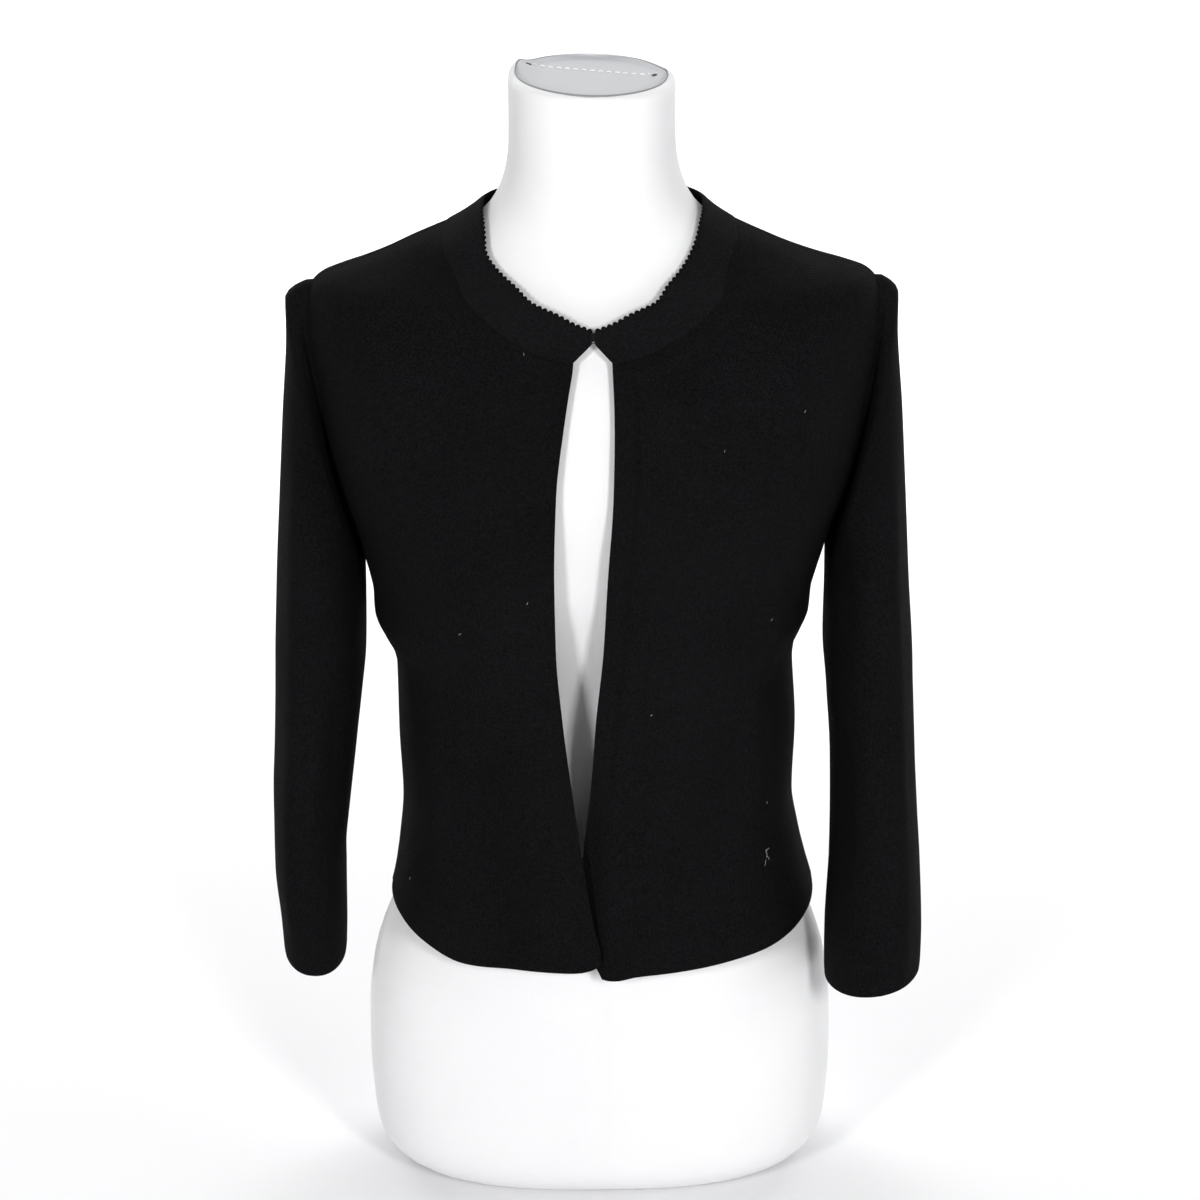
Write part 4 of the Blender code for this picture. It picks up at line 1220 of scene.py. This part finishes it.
def knit_material(name, wale, course, dark, light, depth):
    """Fine jersey knit: columns of small slanted loops, a faint uneven colour with painted shade in
    the hollows between loops, and a soft nap.
    """
    n = Surface(name, dark, 0.82, gloss=0.03)
    split = n.add("ShaderNodeSeparateXYZ")
    n.link(n.add("ShaderNodeUVMap", uv_map="knit").outputs["UV"], split.inputs[0])
    u = n.math("ADD", split.outputs["X"], n.math("MULTIPLY", n.noise(60.0), wale * 0.5))
    ridge = n.math("ABSOLUTE", n.math("SINE", n.math("MULTIPLY", u, math.pi / wale)))
    share = n.math("PINGPONG", n.math("DIVIDE", u, wale), 0.5)
    slant = n.math("MULTIPLY", share, 1.3)
    rows = n.math("ADD", n.math("DIVIDE", split.outputs["Y"], course), slant)
    loop = n.math("ABSOLUTE", n.math("SINE", n.math("MULTIPLY", rows, math.pi)))
    height = n.math("MULTIPLY", n.math("POWER", ridge, 0.6), n.math("POWER", loop, 0.5))
    fuzz = n.math("MULTIPLY", n.noise(1800.0, 3.0), 0.5)
    n.bump(n.math("ADD", height, fuzz), 0.85, depth)
    flecks = n.math("MULTIPLY", n.noise(700.0, 2.0, 0.6), 1.6)
    # Colour tone: uneven colour from noise, plus painted shade from the loops' height, darker in
    # their hollows
    dye_and_loop_shade = n.mix(n.noise(14.0, 4.0), 0.3, height, 0.5)
    n.paint(n.math("MULTIPLY", n.math("ADD", dye_and_loop_shade, flecks), 0.5), 0.45, 0.77, dark, light)
    n.polish(n.noise(35.0), 0.14, 0.76)
    n.sheen(0.003, 0.5)
    n.shader["Sheen Tint"].default_value = (0.75, 0.78, 0.85, 1.0)
    return n.material


def jersey_material(name, dark, light, depth=0.0003):
    """White cotton jersey stretched smooth over foam, with a fine knit and faint shading."""
    n = Surface(name, light, 0.8, gloss=0.25)
    waves = n.add(
        "ShaderNodeTexWave", wave_type="BANDS", bands_direction="Z",
        Scale=480.0, Distortion=1.2, Detail=1.0,
    )
    n.link(n.place, waves.inputs["Vector"])
    fine = n.noise(900.0)
    n.bump(n.math("ADD", n.math("MULTIPLY", waves.outputs["Fac"], 0.5), fine), 0.35, depth)
    n.paint(n.mix(n.noise(7.0, 3.0), 0.8, fine, 0.2), 0.3, 0.7, dark, light)
    n.sheen(0.15, 0.6)
    return n.material


def thread_material(name, dark, light, roughness, gloss=0.5):
    """Sewing thread or loose fibre, a little uneven in colour."""
    n = Surface(name, light, roughness, gloss=gloss)
    tone = n.noise(2600.0)
    n.paint(tone, 0.3, 0.7, dark, light)
    n.bump(tone, 0.5, 0.0001)
    return n.material


def wire_material(name, dark, light, roughness, metallic=1.0):
    """Aged wire, a little uneven in colour and polish."""
    n = Surface(name, light, roughness, metallic)
    tone = n.noise(700.0, 3.0, 0.6)
    n.paint(tone, 0.3, 0.7, dark, light)
    n.polish(tone, 0.3, roughness - 0.15)
    n.bump(tone, 0.3, 0.0001)
    return n.material


def floor_material():
    n = Surface("studio_floor", (0.93, 0.93, 0.94), 0.9, gloss=0.1)
    n.paint(n.noise(1.5), 0.2, 0.8, (0.92, 0.92, 0.93), (0.94, 0.94, 0.95))
    return n.material


def add_camera():
    data = bpy.data.cameras.new("camera")
    data.lens = CAMERA_LENS
    data.sensor_width = 36.0
    data.shift_x = CAMERA_SHIFT
    data.clip_start = 0.05
    data.clip_end = 50.0
    camera = linked("camera", data)
    turn = Matrix.Rotation(math.radians(90 - CAMERA_TILT), 4, "X")
    roll = Matrix.Rotation(math.radians(CAMERA_ROLL), 4, "Z")
    camera.matrix_world = Matrix.Translation(CAMERA_PLACE) @ turn @ roll
    bpy.context.scene.camera = camera


def add_lights():
    for name, place, target, width, height, power in LIGHTS:
        data = bpy.data.lights.new(name, "AREA")
        data.shape = "RECTANGLE"
        data.size = width
        data.size_y = height
        data.energy = power
        light = linked(name, data)
        light.location = place
        way = Vector(target) - Vector(place)
        light.rotation_euler = way.to_track_quat("-Z", "Y").to_euler()
    world = bpy.data.worlds.new("studio")
    world.use_nodes = True
    sky = world.node_tree.nodes["Background"]
    sky.inputs["Color"].default_value = (1.0, 1.0, 1.0, 1.0)
    sky.inputs["Strength"].default_value = WORLD_STRENGTH
    bpy.context.scene.world = world


def add_floor():
    mesh = bpy.data.meshes.new("floor")
    half = 9.0
    corners = [(-half, -half, 0), (half, -half, 0), (half, half, 0), (-half, half, 0)]
    mesh.from_pydata(corners, [], [(0, 1, 2, 3)])
    mesh.materials.append(floor_material())
    floor = linked("floor", mesh)
    floor.location = (0, 0, -0.0005)


def add_lint(material):
    """Short light fibres that cling to the cloth."""
    paths = []
    for x, height, length, way in LINT:
        sine, cosine = sine_cosine(way)
        surface = tucked_point if x > 0 else cloth_point
        path = []
        for along in np.linspace(-0.5, 0.5, 7):
            curl = 0.15 * length * math.sin(along * 5.0)
            z = np.array(height + length * along * sine + curl * cosine)
            turn = turn_at_side(z, x + length * along * cosine - curl * sine)
            normal = outward(surface, turn, z)
            rise = WAVE_RISE * soft_waves(turn * BODY_MM_A_DEGREE, z)
            path.append(surface(turn, z) + normal * (CLOTH + rise + LINT_RADIUS * 0.6))
        paths.append(path)
    return tube("lint", paths, LINT_RADIUS, material, 5)


def dressed(piece, slot, *nodes):
    """A piece that rides with the model, in place of the nodes named; its slot is not used."""
    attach(piece, "root")
    if nodes:
        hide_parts(*nodes)
    return piece


bpy.context.scene.view_settings.view_transform = "Standard"
add_camera()
add_lights()
add_floor()

black = (0.0028, 0.0026, 0.0029)
black_light = (0.0096, 0.0089, 0.0099)
# The band and its picot edge use the body's black knit painted lighter: painted light on the band
band_black_painted_lighter = (0.0048, 0.0045, 0.005)
band_light_painted_lighter = (0.0128, 0.0119, 0.0132)
knit = knit_material("fine_black_knit", 0.00125, 0.001, black, black_light, 0.0005)
band_knit_painted_lighter = knit_material("black_band_knit", 0.00115, 0.0009, band_black_painted_lighter, band_light_painted_lighter, 0.0005)
cover = jersey_material("white_jersey", (0.83, 0.83, 0.84), (0.88, 0.88, 0.885))
# The sunk top panel is a darker grey than the rest of the cover
panel_cover = jersey_material("grey_top_panel", (0.53, 0.54, 0.56), (0.59, 0.6, 0.62))
# Dark grey jersey that paints the shade along the front rim of the sunk top panel, on the panel and
# on its rim seam
rim_painted_shade = jersey_material("grey_rim_painted_shade", (0.2, 0.2, 0.21), (0.3, 0.3, 0.31))
white_thread = thread_material("white_thread", (0.8, 0.8, 0.8), (0.9, 0.9, 0.9), 0.7)
black_thread = thread_material("black_thread", (0.005, 0.0046, 0.005), (0.02, 0.019, 0.02), 0.9, 0.03)
lint_fibre = thread_material("lint_fibre", (0.35, 0.35, 0.36), (0.55, 0.55, 0.56), 0.9)
brass = wire_material("aged_wire", (0.12, 0.07, 0.04), (0.27, 0.17, 0.1), 0.45)
dark_metal = wire_material("dark_grommet", (0.05, 0.048, 0.045), (0.12, 0.115, 0.11), 0.5, 0.7)

form = dressed(add_form(cover, panel_cover, rim_painted_shade), "white_jersey", "dress_form")
dressed(add_cap_stitches(white_thread), "white_jersey")
dressed(add_thread_bars(black_thread), "black_band_knit")
# The rim seam takes the dark grey of painted shade
dressed(add_rim_seam_shade(rim_painted_shade), "white_jersey")
dressed(add_grommets(dark_metal), "fastening_wire")
left_grid = front_grid(2, 1)
right_grid = mirrored(front_grid(1, -1))
back_knit_grid = back_grid()
middle = back_knit_grid.shape[1] // 2
front_left = add_panel("front_left_knit", tucked_point, left_grid, 0, FRONT_CREASES, knit)
front_right = add_panel("front_right_knit", cloth_point, right_grid, 0, FRONT_CREASES, knit)
back = add_panel("back_knit", cloth_point, back_knit_grid, middle, BACK_CREASES, knit)
sleeve_left = add_sleeve(
    "sleeve_left_knit", cloth_point, SLEEVE_LEFT, SLEEVE_LEFT_FOLDS, LEFT_HEM_RISE, 1, knit
)
sleeve_right = add_sleeve(
    "sleeve_right_knit", across_point, SLEEVE_RIGHT, SLEEVE_RIGHT_FOLDS, RIGHT_HEM_RISE, -1, knit
)
band = add_band(band_knit_painted_lighter)
picot = add_picot(band_knit_painted_lighter)
lint = add_lint(lint_fibre)
dressed(front_left, "black_knit", "front_left")
dressed(front_right, "black_knit", "front_right")
dressed(back, "black_knit", "back")
dressed(sleeve_left, "black_knit", "sleeve_left")
dressed(sleeve_right, "black_knit", "sleeve_right")
dressed(band, "black_band_knit", "neck_band")
dressed(picot, "black_band_knit", "picot_edge")
dressed(lint, "black_knit")
for name in ("hook", "eye"):
    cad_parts[name].data.materials.clear()
    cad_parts[name].data.materials.append(brass)
